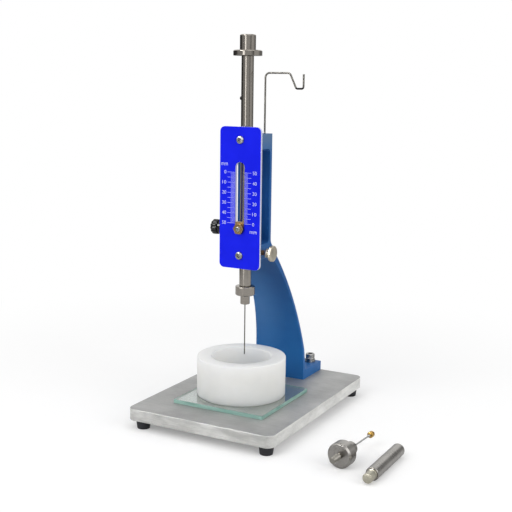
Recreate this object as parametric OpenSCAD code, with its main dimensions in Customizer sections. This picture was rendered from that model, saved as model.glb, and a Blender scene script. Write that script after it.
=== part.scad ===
// Vicat apparatus: a weighted rod with a needle slides in a cast stand over a ring mould.
// Millimetres, +Z up. The rod's axis is the Z axis and the bench top is Z = 0.

/* [Base plate and feet] */
// Width of the base plate
base_w = 160; // [130:1:200]
// Depth of the base plate, front to back
base_d = 218; // [195:1:260]
// Thickness of the base plate
base_t = 12; // [10:0.5:20]
// Radius of the base plate's corners
base_corner_r = 8; // [3:0.5:9]
// Distance from the front edge of the base plate to the rod's axis
rod_setback = 90.5; // [75:0.5:100]
// How far the middle of the base plate lies to the left of the rod's axis
base_shift = 1.5; // [0:0.1:4]
// Diameter of a rubber foot where it meets the base plate
foot_top_d = 15; // [13:0.5:18]
// Diameter of a rubber foot on the bench
foot_bottom_d = 12.5; // [11:0.5:14]
// Height of a rubber foot
foot_h = 9; // [6:0.5:14]
// Distance from the plate's front, back and right edges to the middle of a foot
foot_inset = 10; // [9:0.1:14]
// Distance from the plate's left edge to the middle of a foot
foot_inset_left = 13; // [9:0.1:16]
// Diameter of a foot's screw
foot_screw_d = 4; // [3:0.1:5]
// Height of the heads of the feet's screws above the bench
foot_screw_lift = 1; // [0.5:0.1:2]
// Diameter of the head of a foot's screw
foot_screw_head_d = 7; // [6:0.1:8]
// Height of the head of a foot's screw
foot_screw_head_h = 2.4; // [1.6:0.1:3]
// Depth that a foot's screw reaches into the base plate
foot_screw_reach = 7; // [4:0.5:8]

/* [Stand] */
// Length of the stand's foot, front to back
stand_foot_l = 45.3; // [36:0.1:50]
// Width of the stand's foot
stand_foot_w = 57; // [50:0.5:70]
// Thickness of the stand's foot
stand_foot_t = 10; // [7:0.5:14]
// Distance of the stand's foot from the back edge of the base plate
stand_inset = 1.2; // [0:0.1:4]
// Width of the stand's head
head_w = 36; // [30:0.5:46]
// How far the arms reach in front of the rod's axis
arm_reach = 10; // [9.8:0.1:14]
// Distance from the rod's axis to the front of the head's back wall
wall_back = 15; // [13:0.1:20]
// Thickness of the head's back wall
wall_t = 4.4; // [3:0.1:8]
// Height of the lower arm's underside above the base plate
arm_clear_h = 143.3; // [135:0.1:160]
// Height of the lower arm
lower_arm_h = 15.7; // [14:0.1:20]
// Height of the window between the arms
window_h = 93.4; // [85:0.1:110]
// Height of the upper arm
upper_arm_h = 14.8; // [12:0.1:20]
// Radius of the window's inner corners
window_r = 3.5; // [1:0.5:6]
// Thickness of the curved web where it meets the foot
web_toe_t = 5.5; // [4:0.1:8]
// Height above the base plate at which the web's front face turns upright
web_front_lift = 3.8; // [1:0.1:8]
// Depth below the base plate at which the web's back curve would turn upright
web_back_drop = 12.5; // [4:0.5:20]
// How far behind the back wall the web's front curve meets the underside's level
web_corner_back = 3; // [1:0.1:8]
// Radius under the lower arm, where it turns into the web
underside_r = 18.4; // [10:0.1:24]
// Radius where the back wall turns into the web
bend_r = 8; // [4:0.5:12]
// Height above the base plate up to which the web keeps the foot's width
web_wide_h = 34; // [20:1:60]
// Thickness of the rib behind the web
rib_t = 7; // [4:0.5:12]
// How far the rib reaches behind the web at the foot
rib_toe = 15; // [8:0.5:16]
// How far the rib rises above the window's sill
rib_rise = 6; // [2:0.5:12]

/* [Stand bolts] */
// Distance between the two bolts in the stand's foot
bolt_spacing = 38; // [34:0.5:42]
// Distance from the back of the stand's foot to the bolts
bolt_inset = 8.3; // [7:0.1:12]
// Thread diameter of the bolts
bolt_d = 6; // [5:0.1:7]
// Diameter of a bolt's head
bolt_head_d = 10; // [9:0.1:11.4]
// Height of a bolt's head
bolt_head_h = 6; // [4:0.1:7]
// Width across flats of the socket in a bolt's head
bolt_socket_w = 5; // [3:0.1:6]
// Depth of the socket in a bolt's head
bolt_socket_h = 3; // [2:0.1:3.6]
// Depth that a bolt reaches into the base plate
bolt_reach = 8; // [5:0.5:9]
// Diameter of a flat washer
washer_d = 12; // [11:0.1:13]
// Thickness of a flat washer
washer_t = 1.6; // [1:0.1:2]
// Diameter of a spring washer
spring_washer_d = 11; // [10:0.1:12]
// Thickness of a spring washer
spring_washer_t = 1.6; // [1:0.1:2]
// Width of the split in a spring washer
spring_washer_gap = 0.8; // [0.4:0.1:1.5]

/* [Rod] */
// Diameter of the sliding rod
rod_d = 12; // [10:0.1:12.4]
// Length of the sliding rod between the holder and the weight
rod_l = 226; // [215:1:250]
// Outer diameter of the bushes in the arms
bush_d = 14; // [13.8:0.1:15.2]
// Diameter of the rod's stop pin
stop_pin_d = 3.5; // [2:0.1:4]
// How far the stop pin stands out of the rod
stop_pin_out = 1.6; // [1.5:0.1:4]
// Free drop of the rod before its stop pin meets the upper arm
rod_drop = 32; // [20:0.5:40]
// Diameter of the threaded ends inside the weight
rod_spigot_d = 8; // [6:0.1:9]
// Length of the threaded end inside the weight
rod_spigot_l = 12; // [8:0.5:14]

/* [Weight] */
// Diameter of the weight's flange
weight_flange_d = 28; // [24:0.5:32]
// Height of the weight's flange
weight_flange_h = 5.4; // [4:0.1:8]
// Diameter of the weight's neck
weight_neck_d = 15.5; // [14:0.1:20]
// Height of the weight's neck
weight_neck_h = 14.7; // [12:0.1:20]
// Chamfer on the weight's rims
weight_chamfer = 0.8; // [0.2:0.1:1.5]

/* [Needle and holder] */
// Diameter of the holder's flange
holder_flange_d = 19.7; // [16:0.1:24]
// Height of the holder's flange
holder_flange_h = 9.4; // [7:0.1:12]
// Diameter of the holder's lower neck
holder_neck_d = 9.5; // [7:0.1:12]
// Height of the holder's lower neck
holder_neck_h = 9.3; // [6:0.1:12]
// Chamfer on the holder's rims
holder_chamfer = 0.8; // [0.2:0.1:1.2]
// Diameter of the holder's threaded end inside the rod
holder_spigot_d = 5; // [4:0.1:6]
// Length of the holder's threaded end inside the rod
holder_spigot_l = 9; // [6:0.5:12]
// Diameter of the needle
needle_d = 1.13; // [0.8:0.01:2]
// Length of the needle below its holder
needle_l = 52.5; // [45:0.5:60]
// Length of the needle inside its holder
needle_seat = 8; // [4:0.5:12]
// Height of the needle's tip above the mould
needle_gap = 0.5; // [0.3:0.1:5]

/* [Scale plate] */
// Width of the scale plate
plate_w = 45.2; // [40:0.1:60]
// Height of the scale plate
plate_h = 139.4; // [128:0.1:150]
// Thickness of the scale plate
plate_t = 3; // [2:0.1:4]
// Radius of the scale plate's corners
plate_corner_r = 5; // [1:0.5:8]
// How far the scale plate reaches above the upper arm
plate_over = 7.2; // [2:0.1:10]
// Width of the slot that the pointer runs in
slot_w = 10; // [9:0.1:12]
// Travel of the pointer between the slot's ends
slot_travel = 60.2; // [50:0.1:66]
// Height of the slot's lowest pointer position above the window's sill
slot_rise = 16; // [12:0.1:20]
// Height of the upper screw above the upper arm's underside
upper_screw_rise = 9.3; // [5:0.1:10]
// Height of the lower screw above the lower arm's underside
lower_screw_rise = 4.8; // [4.5:0.1:10]
// Thread diameter of the scale plate's screws
plate_screw_d = 4; // [3:0.1:5]
// Diameter of the heads of the scale plate's screws
plate_screw_head_d = 8.2; // [6:0.1:9.4]
// Height of the heads of the scale plate's screws
plate_screw_head_h = 2.2; // [1.6:0.1:3.2]
// Depth that the scale plate's screws reach into the arms
plate_screw_reach = 2.5; // [1.5:0.1:2.6]

/* [Pointer and its collar] */
// Width across flats of the hexagonal pointer
pointer_w = 10; // [9.6:0.1:14]
// Thickness of the pointer's hexagon
pointer_t = 3; // [2:0.1:5]
// How far the pointer's square-topped shank reaches above its axis
pointer_key_h = 6.6; // [5:0.1:9]
// Distance between the hexagon and the scale plate
pointer_gap = 0.4; // [0.3:0.1:1]
// Diameter of the head of the pointer's screw
pointer_screw_head_d = 5; // [4:0.1:7]
// Height of the head of the pointer's screw
pointer_screw_head_h = 1.2; // [0.8:0.1:2]
// Thread diameter of the pointer's screw
pointer_screw_d = 3; // [2:0.1:3.6]
// Outer diameter of the collar on the rod
collar_d = 19; // [18.6:0.1:19.4]
// Height of the collar on the rod
collar_h = 11; // [10.4:0.1:14]
// How far the collar's middle lies below the pointer's
collar_drop = 1; // [0:0.1:2]
// Distance from the rod's axis to the flat that carries the pointer
collar_flat = 8.3; // [7.8:0.1:8.8]

/* [Clamp knob] */
// Thread diameter of the clamp knob's stud
stud_d = 5; // [4:0.1:6]
// How far the clamp knob's axis lies below the pointer's
clamp_drop = 2.2; // [1:0.1:2.4]
// Diameter of the fluted head of the clamp knob
knob_d = 15.2; // [14:0.1:18]
// Length of the fluted head of the clamp knob
knob_head_l = 7.3; // [4:0.1:9]
// Diameter of the clamp knob's hub
knob_hub_d = 13.4; // [9:0.1:13.6]
// Length of the clamp knob's hub
knob_hub_l = 3.5; // [2:0.1:5]
// Width of the groove between head and hub
knob_groove_w = 0.9; // [0.5:0.1:1.5]
// Depth of the groove between head and hub
knob_groove_h = 1.2; // [0.5:0.1:2]
// Depth of one flute of the knob's grip
flute_h = 0.7; // [0.3:0.1:1.2]
// Number of flutes of the knob's grip
flutes = 12; // [8:1:16]
// Distance from the rod's axis to the inner end of the hub
knob_out = 26; // [24:0.5:34]
// Diameter of the soft pads that press on the rod
pad_d = 4.4; // [3:0.1:4.8]
// Thickness of the soft pads
pad_t = 1.5; // [1:0.1:2]

/* [Lock screw] */
// Height of the lock screw's axis above the lower arm's underside
lock_rise = 7.7; // [7:0.1:9]
// Diameter of the knurled head of the lock screw
lock_head_d = 16; // [12:0.1:18]
// Thickness of the knurled head of the lock screw
lock_head_l = 3.2; // [2:0.1:6]
// Diameter of the neck behind the knurled head
lock_neck_d = 7; // [5:0.1:8]
// Length of the neck behind the knurled head
lock_neck_l = 2.4; // [1:0.1:4]
// Diameter of the shoulder of the lock screw
lock_shoulder_d = 9; // [7:0.1:10]
// Length of the shoulder of the lock screw
lock_shoulder_l = 2.7; // [2:0.1:5]
// Free thread between the arm and the shoulder
lock_free_l = 5.3; // [2:0.1:10]

/* [Wire hook] */
// Diameter of the hook's wire
wire_d = 1.8; // [1.4:0.1:2.4]
// Distance from the rod's axis to the hook's shank, to the right
hook_x = 14.3; // [13:0.1:15]
// Distance from the rod's axis to the hook's shank, to the back
hook_y = 10; // [8.5:0.1:12]
// Height of the hook's arm above the upper arm
hook_rise = 58.5; // [50:0.1:64]
// Length of the hook's arm, from the shank to the bend down
hook_arm = 26.4; // [22:0.1:32]
// How far the hook's end bends down
hook_drop = 14.6; // [12:0.1:18]
// Width of the hook's slanting side
hook_slant = 7; // [5:0.1:9]
// Inner width of the hook's bottom
hook_bottom = 7.6; // [6.2:0.1:9]
// Radius of the wire's bend at the top of the shank
hook_top_r = 4.5; // [3:0.1:6]
// Radius of the wire's bend at the end of the arm
hook_arm_r = 3.5; // [2:0.1:5]
// Radius of the wire's bends at the bottom of the hook
hook_r = 2; // [1.5:0.1:2.5]
// Depth of the shank's hole in the upper arm
hook_seat = 8; // [5:0.5:12]

/* [Glass plate and mould] */
// Side of the square glass plate
glass_w = 100; // [94:1:110]
// Thickness of the glass plate
glass_t = 4; // [3:0.5:6]
// Distance of the glass plate's middle in front of the rod's axis
glass_front = 4.6; // [0:0.1:8]
// Outer diameter of the mould
mould_d = 90; // [84:0.5:92]
// Inner diameter of the mould at its top
mould_top_d = 60; // [56:0.5:70]
// Inner diameter of the mould at its bottom
mould_bottom_d = 70; // [60:0.5:76]
// Height of the mould
mould_h = 40; // [38:0.1:42]
// Distance of the mould's middle to the left of the rod's axis
mould_left = 2; // [0:0.1:2.6]
// Distance of the mould's middle in front of the rod's axis
mould_front = 2.5; // [0:0.1:4]
// Chamfer on the mould's rims
mould_chamfer = 0.8; // [0.2:0.1:1.5]

/* [Loose needle with ring] */
// Place of the holder's face, to the right of the rod's axis
set_x = 140.7; // [130:0.1:160]
// Place of the holder's face, in front of the rod's axis
set_front = 80; // [70:0.1:95]
// Heading of the loose needle, to the right of straight back
set_turn = 4; // [0:0.1:12]
// Diameter of the loose holder's flange
set_flange_d = 23.8; // [18:0.1:28]
// Length of the loose holder's flange
set_flange_l = 12; // [9:0.1:18]
// Diameter of the loose holder's step
set_step_d = 12.6; // [10:0.1:17]
// Length of the loose holder's step
set_step_l = 13.5; // [8:0.1:16]
// Diameter of the loose holder's threaded end
set_spigot_d = 6.2; // [4:0.1:8]
// Length of the loose holder's threaded end
set_spigot_l = 12.5; // [6:0.5:14]
// Chamfer on the loose holder's rims
set_chamfer = 0.8; // [0.2:0.1:1.2]
// Diameter of the loose needle
set_needle_d = 1.5; // [1.1:0.1:2.4]
// Length of the loose needle between the holder and the ring
set_needle_l = 37.5; // [30:0.5:64]
// Length of the loose needle inside its holder
set_needle_seat = 8; // [4:0.5:12]
// Diameter of the ferrule before the ring
ferrule_d = 3; // [2.4:0.1:4]
// Length of the ferrule before the ring
ferrule_l = 3; // [1:0.1:5]
// Diameter of the brass ring
ring_d = 6; // [5:0.1:8]
// Length of the brass ring
ring_l = 5.5; // [3:0.1:8]

/* [Loose plunger] */
// Place of the plunger's axis, to the right of the rod's axis
plunger_x = 176.4; // [165:0.1:200]
// Place of the plunger's shoulder, in front of the rod's axis
plunger_front = 89.7; // [75:0.1:100]
// Diameter of the plunger
plunger_d = 12.4; // [10:0.1:16]
// Length of the plunger
plunger_l = 65.7; // [50:0.1:80]
// Diameter of the plunger's spigot
plunger_spigot_d = 9.2; // [6:0.1:9.6]
// Length of the plunger's spigot
plunger_spigot_l = 11.5; // [6:0.1:14]
// Chamfer on the plunger's rims
plunger_chamfer = 0.6; // [0.2:0.1:1]

/* [Fits] */
// Radial clearance of the rod in its bushes and its collar
running_fit = 0.05; // [0.02:0.01:0.1]
// Radial clearance of a pressed or threaded piece in its hole
seat_fit = 0.02; // [0.01:0.01:0.05]
// Radial clearance of a bolt in a plain hole
bolt_fit = 0.3; // [0.1:0.05:0.5]
// Clearance of pieces that pass each other
pass_gap = 0.3; // [0.2:0.05:0.35]
// Distance between a tightened pad and the rod
pad_gap = 0.1; // [0.05:0.01:0.2]
// Chamfer on the ends of threads and on small turned edges
edge_break = 0.4; // [0.2:0.1:0.5]

/* [Hidden] */
$fn = 96;
cut = 1; // how far a cutting shape runs past the face that it opens
tip_room = 0.4; // space left beyond a screw's or a spigot's end

// Heights above the bench
base_top = foot_h + base_t;
foot_top = base_top + stand_foot_t;
arm_bottom = base_top + arm_clear_h;
sill = arm_bottom + lower_arm_h;
lintel = sill + window_h;
head_top = lintel + upper_arm_h;
pointer_z = sill + slot_rise;
collar_z = pointer_z - collar_drop - collar_h / 2;
clamp_z = pointer_z - clamp_drop;
lock_z = arm_bottom + lock_rise;
upper_screw_z = lintel + upper_screw_rise;
lower_screw_z = arm_bottom + lower_screw_rise;
plate_top = head_top + plate_over;
glass_top = base_top + glass_t;
needle_tip = glass_top + mould_h + needle_gap;
holder_bottom = needle_tip + needle_l;
flange_bottom = holder_bottom + holder_neck_h;
rod_bottom = flange_bottom + holder_flange_h;
rod_top = rod_bottom + rod_l;
stop_pin_z = head_top + rod_drop + pass_gap + stop_pin_d / 2;

// Places front to back
base_back = base_d - rod_setback;
foot_back = base_back - stand_inset;
foot_front = foot_back - stand_foot_l;
wall_rear = wall_back + wall_t;
bolt_y = foot_back - bolt_inset;
plate_front = -arm_reach - plate_t;
pointer_back = plate_front - pointer_gap;

// Sizes that belong to a hole and what sits in it
rod_bore_r = rod_d / 2 + running_fit;
bush_seat_r = bush_d / 2 + seat_fit;
shank_d = slot_w - 2 * pass_gap;
stud_hole_r = stud_d / 2 + seat_fit;
washer_bore_r = bolt_d / 2 + bolt_fit;
pad_end = rod_d / 2 + pad_gap + pad_t; // from the rod's axis to the end of a tightened pad

// The stand's curves: a circle that is upright at the foot and reaches a corner above it
function upright_r(run, rise) = (run * run + rise * rise) / (2 * run);
front_c_z = base_top + web_front_lift;
front_r = upright_r(foot_front - wall_rear - web_corner_back, arm_bottom - front_c_z);
front_c = [foot_front - front_r, front_c_z];
rear_c_z = base_top - web_back_drop;
rear_toe = foot_front + web_toe_t;
rear_r = upright_r(rear_toe - wall_rear, sill - rear_c_z);
rear_c = [rear_toe - rear_r, rear_c_z];

// The round corner under the lower arm touches the underside and the front curve
corner_drop = arm_bottom - underside_r - front_c_z;
corner_c = front_c + [sqrt(pow(front_r - underside_r, 2) - pow(corner_drop, 2)), corner_drop];
corner_dir = (corner_c - front_c) / (front_r - underside_r);
corner_touch = front_c + corner_dir * front_r;
corner_tip = corner_touch.x - (arm_bottom - corner_touch.y) * corner_dir.y / corner_dir.x;

// The fillet behind the back wall touches the wall and the rear curve
bend_run = wall_rear + bend_r - rear_c.x;
bend_c = rear_c + [bend_run, sqrt(pow(rear_r + bend_r, 2) - pow(bend_run, 2))];
bend_touch = rear_c + (bend_c - rear_c) * rear_r / (rear_r + bend_r);

// The rib's back is a circle through a point on the back wall and one on the foot
rib_top = [wall_rear, sill + rib_rise];
rib_foot = [rear_toe + rib_toe, foot_top];
rib_chord = rib_foot - rib_top;
rib_sag = sqrt(pow(rear_r, 2) - pow(norm(rib_chord) / 2, 2));
rib_c = (rib_top + rib_foot) / 2 + rib_sag / norm(rib_chord) * [rib_chord.y, -rib_chord.x];

// Places along the loose needle, from its holder's face
set_needle_start = set_flange_l + set_step_l;
ring_start = set_needle_start + set_needle_l;

// Corner points of the hook's wire, as [x, z], and the radius of each bend
hook_top = head_top + hook_rise;
hook_line = [
    [hook_x, head_top - hook_seat],
    [hook_x, hook_top],
    [hook_x + hook_arm, hook_top],
    [hook_x + hook_arm + hook_slant, hook_top - hook_drop],
    [hook_x + hook_arm + hook_slant + hook_bottom, hook_top - hook_drop],
    [hook_x + hook_arm + hook_slant + hook_bottom, hook_top - wire_d / 2]
];
hook_bends = [hook_top_r, hook_arm_r, hook_r, hook_r];
wire_steps = 6; // rings along each bend
wire_sides = 16; // sides of the wire

// ---- shapes used more than once ----

// A flat plate with round corners, as an outline about its middle
module rounded_outline(w, h, r) {
    square([w, h - 2 * r], center = true);
    square([w - 2 * r, h], center = true);
    for (x = [-1, 1], y = [-1, 1]) {
        translate([x * (w / 2 - r), y * (h / 2 - r)]) circle(r);
    }
}

// A turned piece on +Z from [radius, height] pairs
module turned(points) {
    rotate_extrude() polygon(points);
}

// A plain shaft along +Z with a chamfer at each end
module shaft(d, l, low_chamfer, high_chamfer) {
    turned([
        [0, 0], [d / 2 - low_chamfer, 0], [d / 2, low_chamfer],
        [d / 2, l - high_chamfer], [d / 2 - high_chamfer, l], [0, l]
    ]);
}

// Turns a shape on +Z to point to the front, the left or the right
module facing_front() {
    rotate([90, 0, 0]) children();
}

module facing_left() {
    rotate([0, -90, 0]) children();
}

module facing_right() {
    rotate([0, 90, 0]) children();
}

// Extrudes a [y, z] outline along X, about X = 0
module across(width) {
    rotate([90, 0, 90]) linear_extrude(width, center = true) children();
}

module at_feet() {
    left = foot_inset_left - base_w / 2 - base_shift;
    right = base_w / 2 - base_shift - foot_inset;
    for (x = [left, right], y = [foot_inset - rod_setback, base_back - foot_inset]) {
        translate([x, y, 0]) children();
    }
}

module at_bolts() {
    for (sx = [-1, 1]) {
        translate([sx * bolt_spacing / 2, bolt_y, foot_top]) children();
    }
}

module at_plate_screws() {
    for (z = [lower_screw_z, upper_screw_z]) {
        translate([0, -arm_reach, z]) facing_front() children();
    }
}

// ---- base plate and feet ----

module base_plate() {
    color([0.65, 0.65, 0.65])
    difference() {
        translate([-base_shift, base_back - base_d / 2, foot_h])
        linear_extrude(base_t) rounded_outline(base_w, base_d, base_corner_r);
        at_feet() {
            translate([0, 0, foot_h - cut])
            cylinder(h = foot_screw_reach + tip_room + cut, r = foot_screw_d / 2 + seat_fit);
        }
        at_bolts() {
            translate([0, 0, -stand_foot_t - bolt_reach - tip_room])
            cylinder(h = bolt_reach + tip_room + cut, r = bolt_d / 2 + seat_fit);
        }
    }
}

module rubber_feet() {
    recess_h = foot_screw_lift + foot_screw_head_h;
    color([0.12, 0.12, 0.14])
    at_feet() {
        difference() {
            cylinder(h = foot_h, d1 = foot_bottom_d, d2 = foot_top_d);
            translate([0, 0, -cut]) cylinder(h = foot_h + 2 * cut, r = foot_screw_d / 2 + bolt_fit);
            translate([0, 0, -cut]) cylinder(h = recess_h + cut, r = foot_screw_head_d / 2 + bolt_fit);
        }
    }
}

module foot_screws() {
    color([0.6, 0.6, 0.6])
    at_feet() {
        translate([0, 0, foot_screw_lift]) cylinder(h = foot_screw_head_h, d = foot_screw_head_d);
        translate([0, 0, foot_screw_lift])
        cylinder(h = foot_h - foot_screw_lift + foot_screw_reach, d = foot_screw_d);
    }
}

// ---- stand ----

// The window between the arms, open to the front
module window_outline() {
    y = wall_back - window_r;
    translate([-arm_reach - cut, sill]) square([arm_reach + cut + y, window_h]);
    translate([y, sill + window_r]) square([window_r, window_h - 2 * window_r]);
    for (z = [sill + window_r, lintel - window_r]) {
        translate([y, z]) circle(window_r);
    }
}

// The free space under the lower arm, in front of the web
module throat_outline() {
    far = -arm_reach - cut;
    difference() {
        union() {
            intersection() {
                translate(front_c) circle(front_r, $fn = 360);
                translate([far, front_c_z]) square([foot_front - far, arm_bottom - front_c_z]);
            }
            translate([far, 0]) square([foot_front - far, front_c_z]);
        }
        polygon([[corner_c.x, arm_bottom + cut], [corner_tip + cut, arm_bottom + cut],
            [corner_tip, arm_bottom], corner_touch, corner_c]);
    }
    translate(corner_c) circle(underside_r);
}

module stand_outline() {
    difference() {
        union() {
            translate([-arm_reach, arm_bottom]) square([arm_reach + wall_rear, head_top - arm_bottom]);
            intersection() {
                translate(rear_c) circle(rear_r, $fn = 360);
                translate([0, base_top]) square([rear_toe, sill - base_top]);
            }
            translate([foot_front, base_top]) square([stand_foot_l, stand_foot_t]);
            difference() {
                polygon([[wall_back, bend_c.y], [wall_back, sill - bend_r], bend_touch, bend_c]);
                translate(bend_c) circle(bend_r);
            }
        }
        window_outline();
        throat_outline();
    }
}

// The stand from the front: a narrow head on a web that widens towards its foot
module stand_front() {
    foot_w = stand_foot_w / 2;
    head = head_w / 2;
    polygon([
        [-foot_w, base_top], [foot_w, base_top], [foot_w, base_top + web_wide_h],
        [head, arm_bottom], [head, head_top], [-head, head_top],
        [-head, arm_bottom], [-foot_w, base_top + web_wide_h]
    ]);
}

module rib_outline() {
    difference() {
        intersection() {
            translate(rib_c) circle(rear_r, $fn = 360);
            translate([wall_back + wall_t / 2, base_top + stand_foot_t / 2])
            square([rib_foot.x - wall_back, rib_top.y - foot_top + stand_foot_t / 2]);
        }
        throat_outline();
    }
}

module stand() {
    color([0.14, 0.33, 0.58])
    difference() {
        union() {
            intersection() {
                across(stand_foot_w) stand_outline();
                translate([0, foot_back + cut, 0])
                facing_front() linear_extrude(foot_back + arm_reach + 2 * cut) stand_front();
            }
            across(rib_t) rib_outline();
        }
        translate([0, 0, arm_bottom - cut])
        cylinder(h = head_top - arm_bottom + 2 * cut, r = bush_seat_r);
        translate([0, 0, lock_z]) facing_right() cylinder(h = head_w, r = stud_hole_r);
        at_plate_screws() {
            translate([0, 0, -plate_screw_reach - tip_room / 2])
            cylinder(h = plate_screw_reach + cut, r = plate_screw_d / 2 + seat_fit);
        }
        translate([hook_x, hook_y, head_top - hook_seat])
        cylinder(h = hook_seat + cut, r = wire_d / 2 + running_fit);
        at_bolts() {
            translate([0, 0, -stand_foot_t - cut])
            cylinder(h = stand_foot_t + 2 * cut, r = washer_bore_r);
        }
    }
}

module stand_bolts() {
    seat = washer_t + spring_washer_t;
    color([0.72, 0.72, 0.7])
    at_bolts() {
        difference() {
            translate([0, 0, seat]) shaft(bolt_head_d, bolt_head_h, 0, edge_break);
            translate([0, 0, seat + bolt_head_h - bolt_socket_h])
            cylinder(h = bolt_socket_h + cut, d = bolt_socket_w / cos(30), $fn = 6);
        }
        translate([0, 0, -stand_foot_t - bolt_reach])
        cylinder(h = seat + stand_foot_t + bolt_reach, d = bolt_d);
    }
}

module spring_washers() {
    color([0.55, 0.55, 0.55])
    at_bolts() {
        translate([0, 0, washer_t])
        difference() {
            cylinder(h = spring_washer_t, d = spring_washer_d);
            translate([0, 0, -cut]) cylinder(h = spring_washer_t + 2 * cut, r = washer_bore_r);
            translate([0, -spring_washer_gap / 2, -cut])
            cube([spring_washer_d, spring_washer_gap, spring_washer_t + 2 * cut]);
        }
    }
}

module flat_washers() {
    color([0.75, 0.75, 0.73])
    at_bolts() {
        difference() {
            cylinder(h = washer_t, d = washer_d);
            translate([0, 0, -cut]) cylinder(h = washer_t + 2 * cut, r = washer_bore_r);
        }
    }
}

module bush(h) {
    difference() {
        cylinder(h = h, d = bush_d);
        translate([0, 0, -cut]) cylinder(h = h + 2 * cut, r = rod_bore_r);
    }
}

module upper_bush() {
    color([0.7, 0.55, 0.3])
    translate([0, 0, lintel]) bush(upper_arm_h);
}

module lower_bush() {
    color([0.7, 0.55, 0.3])
    difference() {
        translate([0, 0, arm_bottom]) bush(lower_arm_h);
        translate([0, 0, lock_z]) facing_right() cylinder(h = bush_d, r = stud_hole_r);
    }
}

// ---- scale plate ----

module scale_plate() {
    color([0.13, 0.16, 0.95])
    difference() {
        translate([0, -arm_reach, plate_top - plate_h / 2])
        facing_front() linear_extrude(plate_t) rounded_outline(plate_w, plate_h, plate_corner_r);
        for (z = [0, slot_travel]) {
            translate([0, cut - arm_reach, pointer_z + z])
            facing_front() cylinder(h = plate_t + 2 * cut, d = slot_w);
        }
        translate([-slot_w / 2, plate_front - cut, pointer_z])
        cube([slot_w, plate_t + 2 * cut, slot_travel]);
        at_plate_screws() {
            translate([0, 0, -cut]) cylinder(h = plate_t + 2 * cut, r = plate_screw_d / 2 + bolt_fit);
        }
    }
}

module scale_plate_screws() {
    rim = plate_screw_head_h / 2;
    slit = plate_screw_head_d / 8;
    color([0.68, 0.66, 0.6])
    at_plate_screws() {
        difference() {
            translate([0, 0, plate_t])
            turned([
                [0, 0], [plate_screw_head_d / 2, 0], [plate_screw_head_d / 2, rim],
                [plate_screw_head_d / 2 - rim, plate_screw_head_h], [0, plate_screw_head_h]
            ]);
            for (turn = [0, 90]) {
                rotate(turn)
                translate([-plate_screw_d / 2, -slit / 2, plate_t + plate_screw_head_h / 3])
                cube([plate_screw_d, slit, plate_screw_head_h]);
            }
        }
        translate([0, 0, -plate_screw_reach])
        cylinder(h = plate_screw_reach + plate_t, d = plate_screw_d);
    }
}

// ---- wire hook ----

// Stations of a wire with round bends at its inner corner points, as [x, z, direction]
function wire_stations(line, bends) = let (
    last = len(line) - 1,
    dirs = [for (i = [0:last - 1]) atan2(line[i + 1].y - line[i].y, line[i + 1].x - line[i].x)]
) [
    [line[0].x, line[0].y, dirs[0]],
    for (i = [1:last - 1])
        let (
            turn = dirs[i] - dirs[i - 1],
            r = bends[i - 1] * sign(turn),
            ahead = [cos(dirs[i - 1]), sin(dirs[i - 1])],
            centre = line[i] - r * tan(turn / 2) * ahead + r * [-ahead.y, ahead.x]
        )
        for (k = [0:wire_steps])
            let (a = dirs[i - 1] + turn * k / wire_steps)
            [centre.x + r * sin(a), centre.y - r * cos(a), a],
    [line[last].x, line[last].y, dirs[last - 1]]
];

// A wire in the plane y = 0: a ring of points round each station, joined by triangles
module bent_wire(line, bends, d) {
    stations = wire_stations(line, bends);
    n = wire_sides;
    points = [
        for (s = stations, k = [0:n - 1])
            let (out = d / 2 * cos(k * 360 / n), across = d / 2 * sin(k * 360 / n))
            [s[0] - out * sin(s[2]), across, s[1] + out * cos(s[2])]
    ];
    faces = [
        [for (k = [n - 1:-1:0]) k],
        for (j = [0:len(stations) - 2], k = [0:n - 1])
            let (a = j * n + k, b = j * n + (k + 1) % n)
            each [[a, b, b + n], [a, b + n, a + n]],
        [for (k = [0:n - 1]) (len(stations) - 1) * n + k]
    ];
    polyhedron(points, faces);
}

module wire_hook() {
    color([0.6, 0.6, 0.58])
    translate([0, hook_y, 0]) bent_wire(hook_line, hook_bends, wire_d);
}

// ---- pointer and collar, which slide together ----

module pointer_collar() {
    color([0.6, 0.58, 0.54])
    difference() {
        translate([0, 0, collar_z]) shaft(collar_d, collar_h, edge_break, edge_break);
        translate([0, 0, collar_z - cut]) cylinder(h = collar_h + 2 * cut, r = rod_bore_r);
        translate([-collar_d / 2, -collar_d - collar_flat, collar_z - cut])
        cube([collar_d, collar_d, collar_h + 2 * cut]);
        translate([0, 0, pointer_z])
        facing_front() cylinder(h = collar_d, r = pointer_screw_d / 2 + seat_fit);
        translate([0, 0, clamp_z]) facing_left() cylinder(h = collar_d, r = stud_hole_r);
    }
}

module pointer() {
    shank_l = -pointer_back - collar_flat;
    color([0.72, 0.53, 0.28])
    translate([0, -collar_flat, pointer_z])
    facing_front()
    difference() {
        union() {
            cylinder(h = shank_l, d = shank_d);
            translate([-shank_d / 2, 0, 0]) cube([shank_d, pointer_key_h, shank_l]);
            translate([0, 0, shank_l]) cylinder(h = pointer_t, d = pointer_w / cos(30), $fn = 6);
        }
        translate([0, 0, -cut])
        cylinder(h = shank_l + pointer_t + 2 * cut, r = pointer_screw_d / 2 + running_fit);
    }
}

module pointer_screw() {
    front = -pointer_back + pointer_t;
    tip = rod_bore_r + tip_room / 2;
    color([0.7, 0.7, 0.68])
    translate([0, 0, pointer_z])
    facing_front() {
        translate([0, 0, tip]) cylinder(h = front - tip, d = pointer_screw_d);
        translate([0, 0, front])
        shaft(pointer_screw_head_d, pointer_screw_head_h, 0, edge_break);
    }
}

// ---- rod, weight, holder and needle ----

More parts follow.
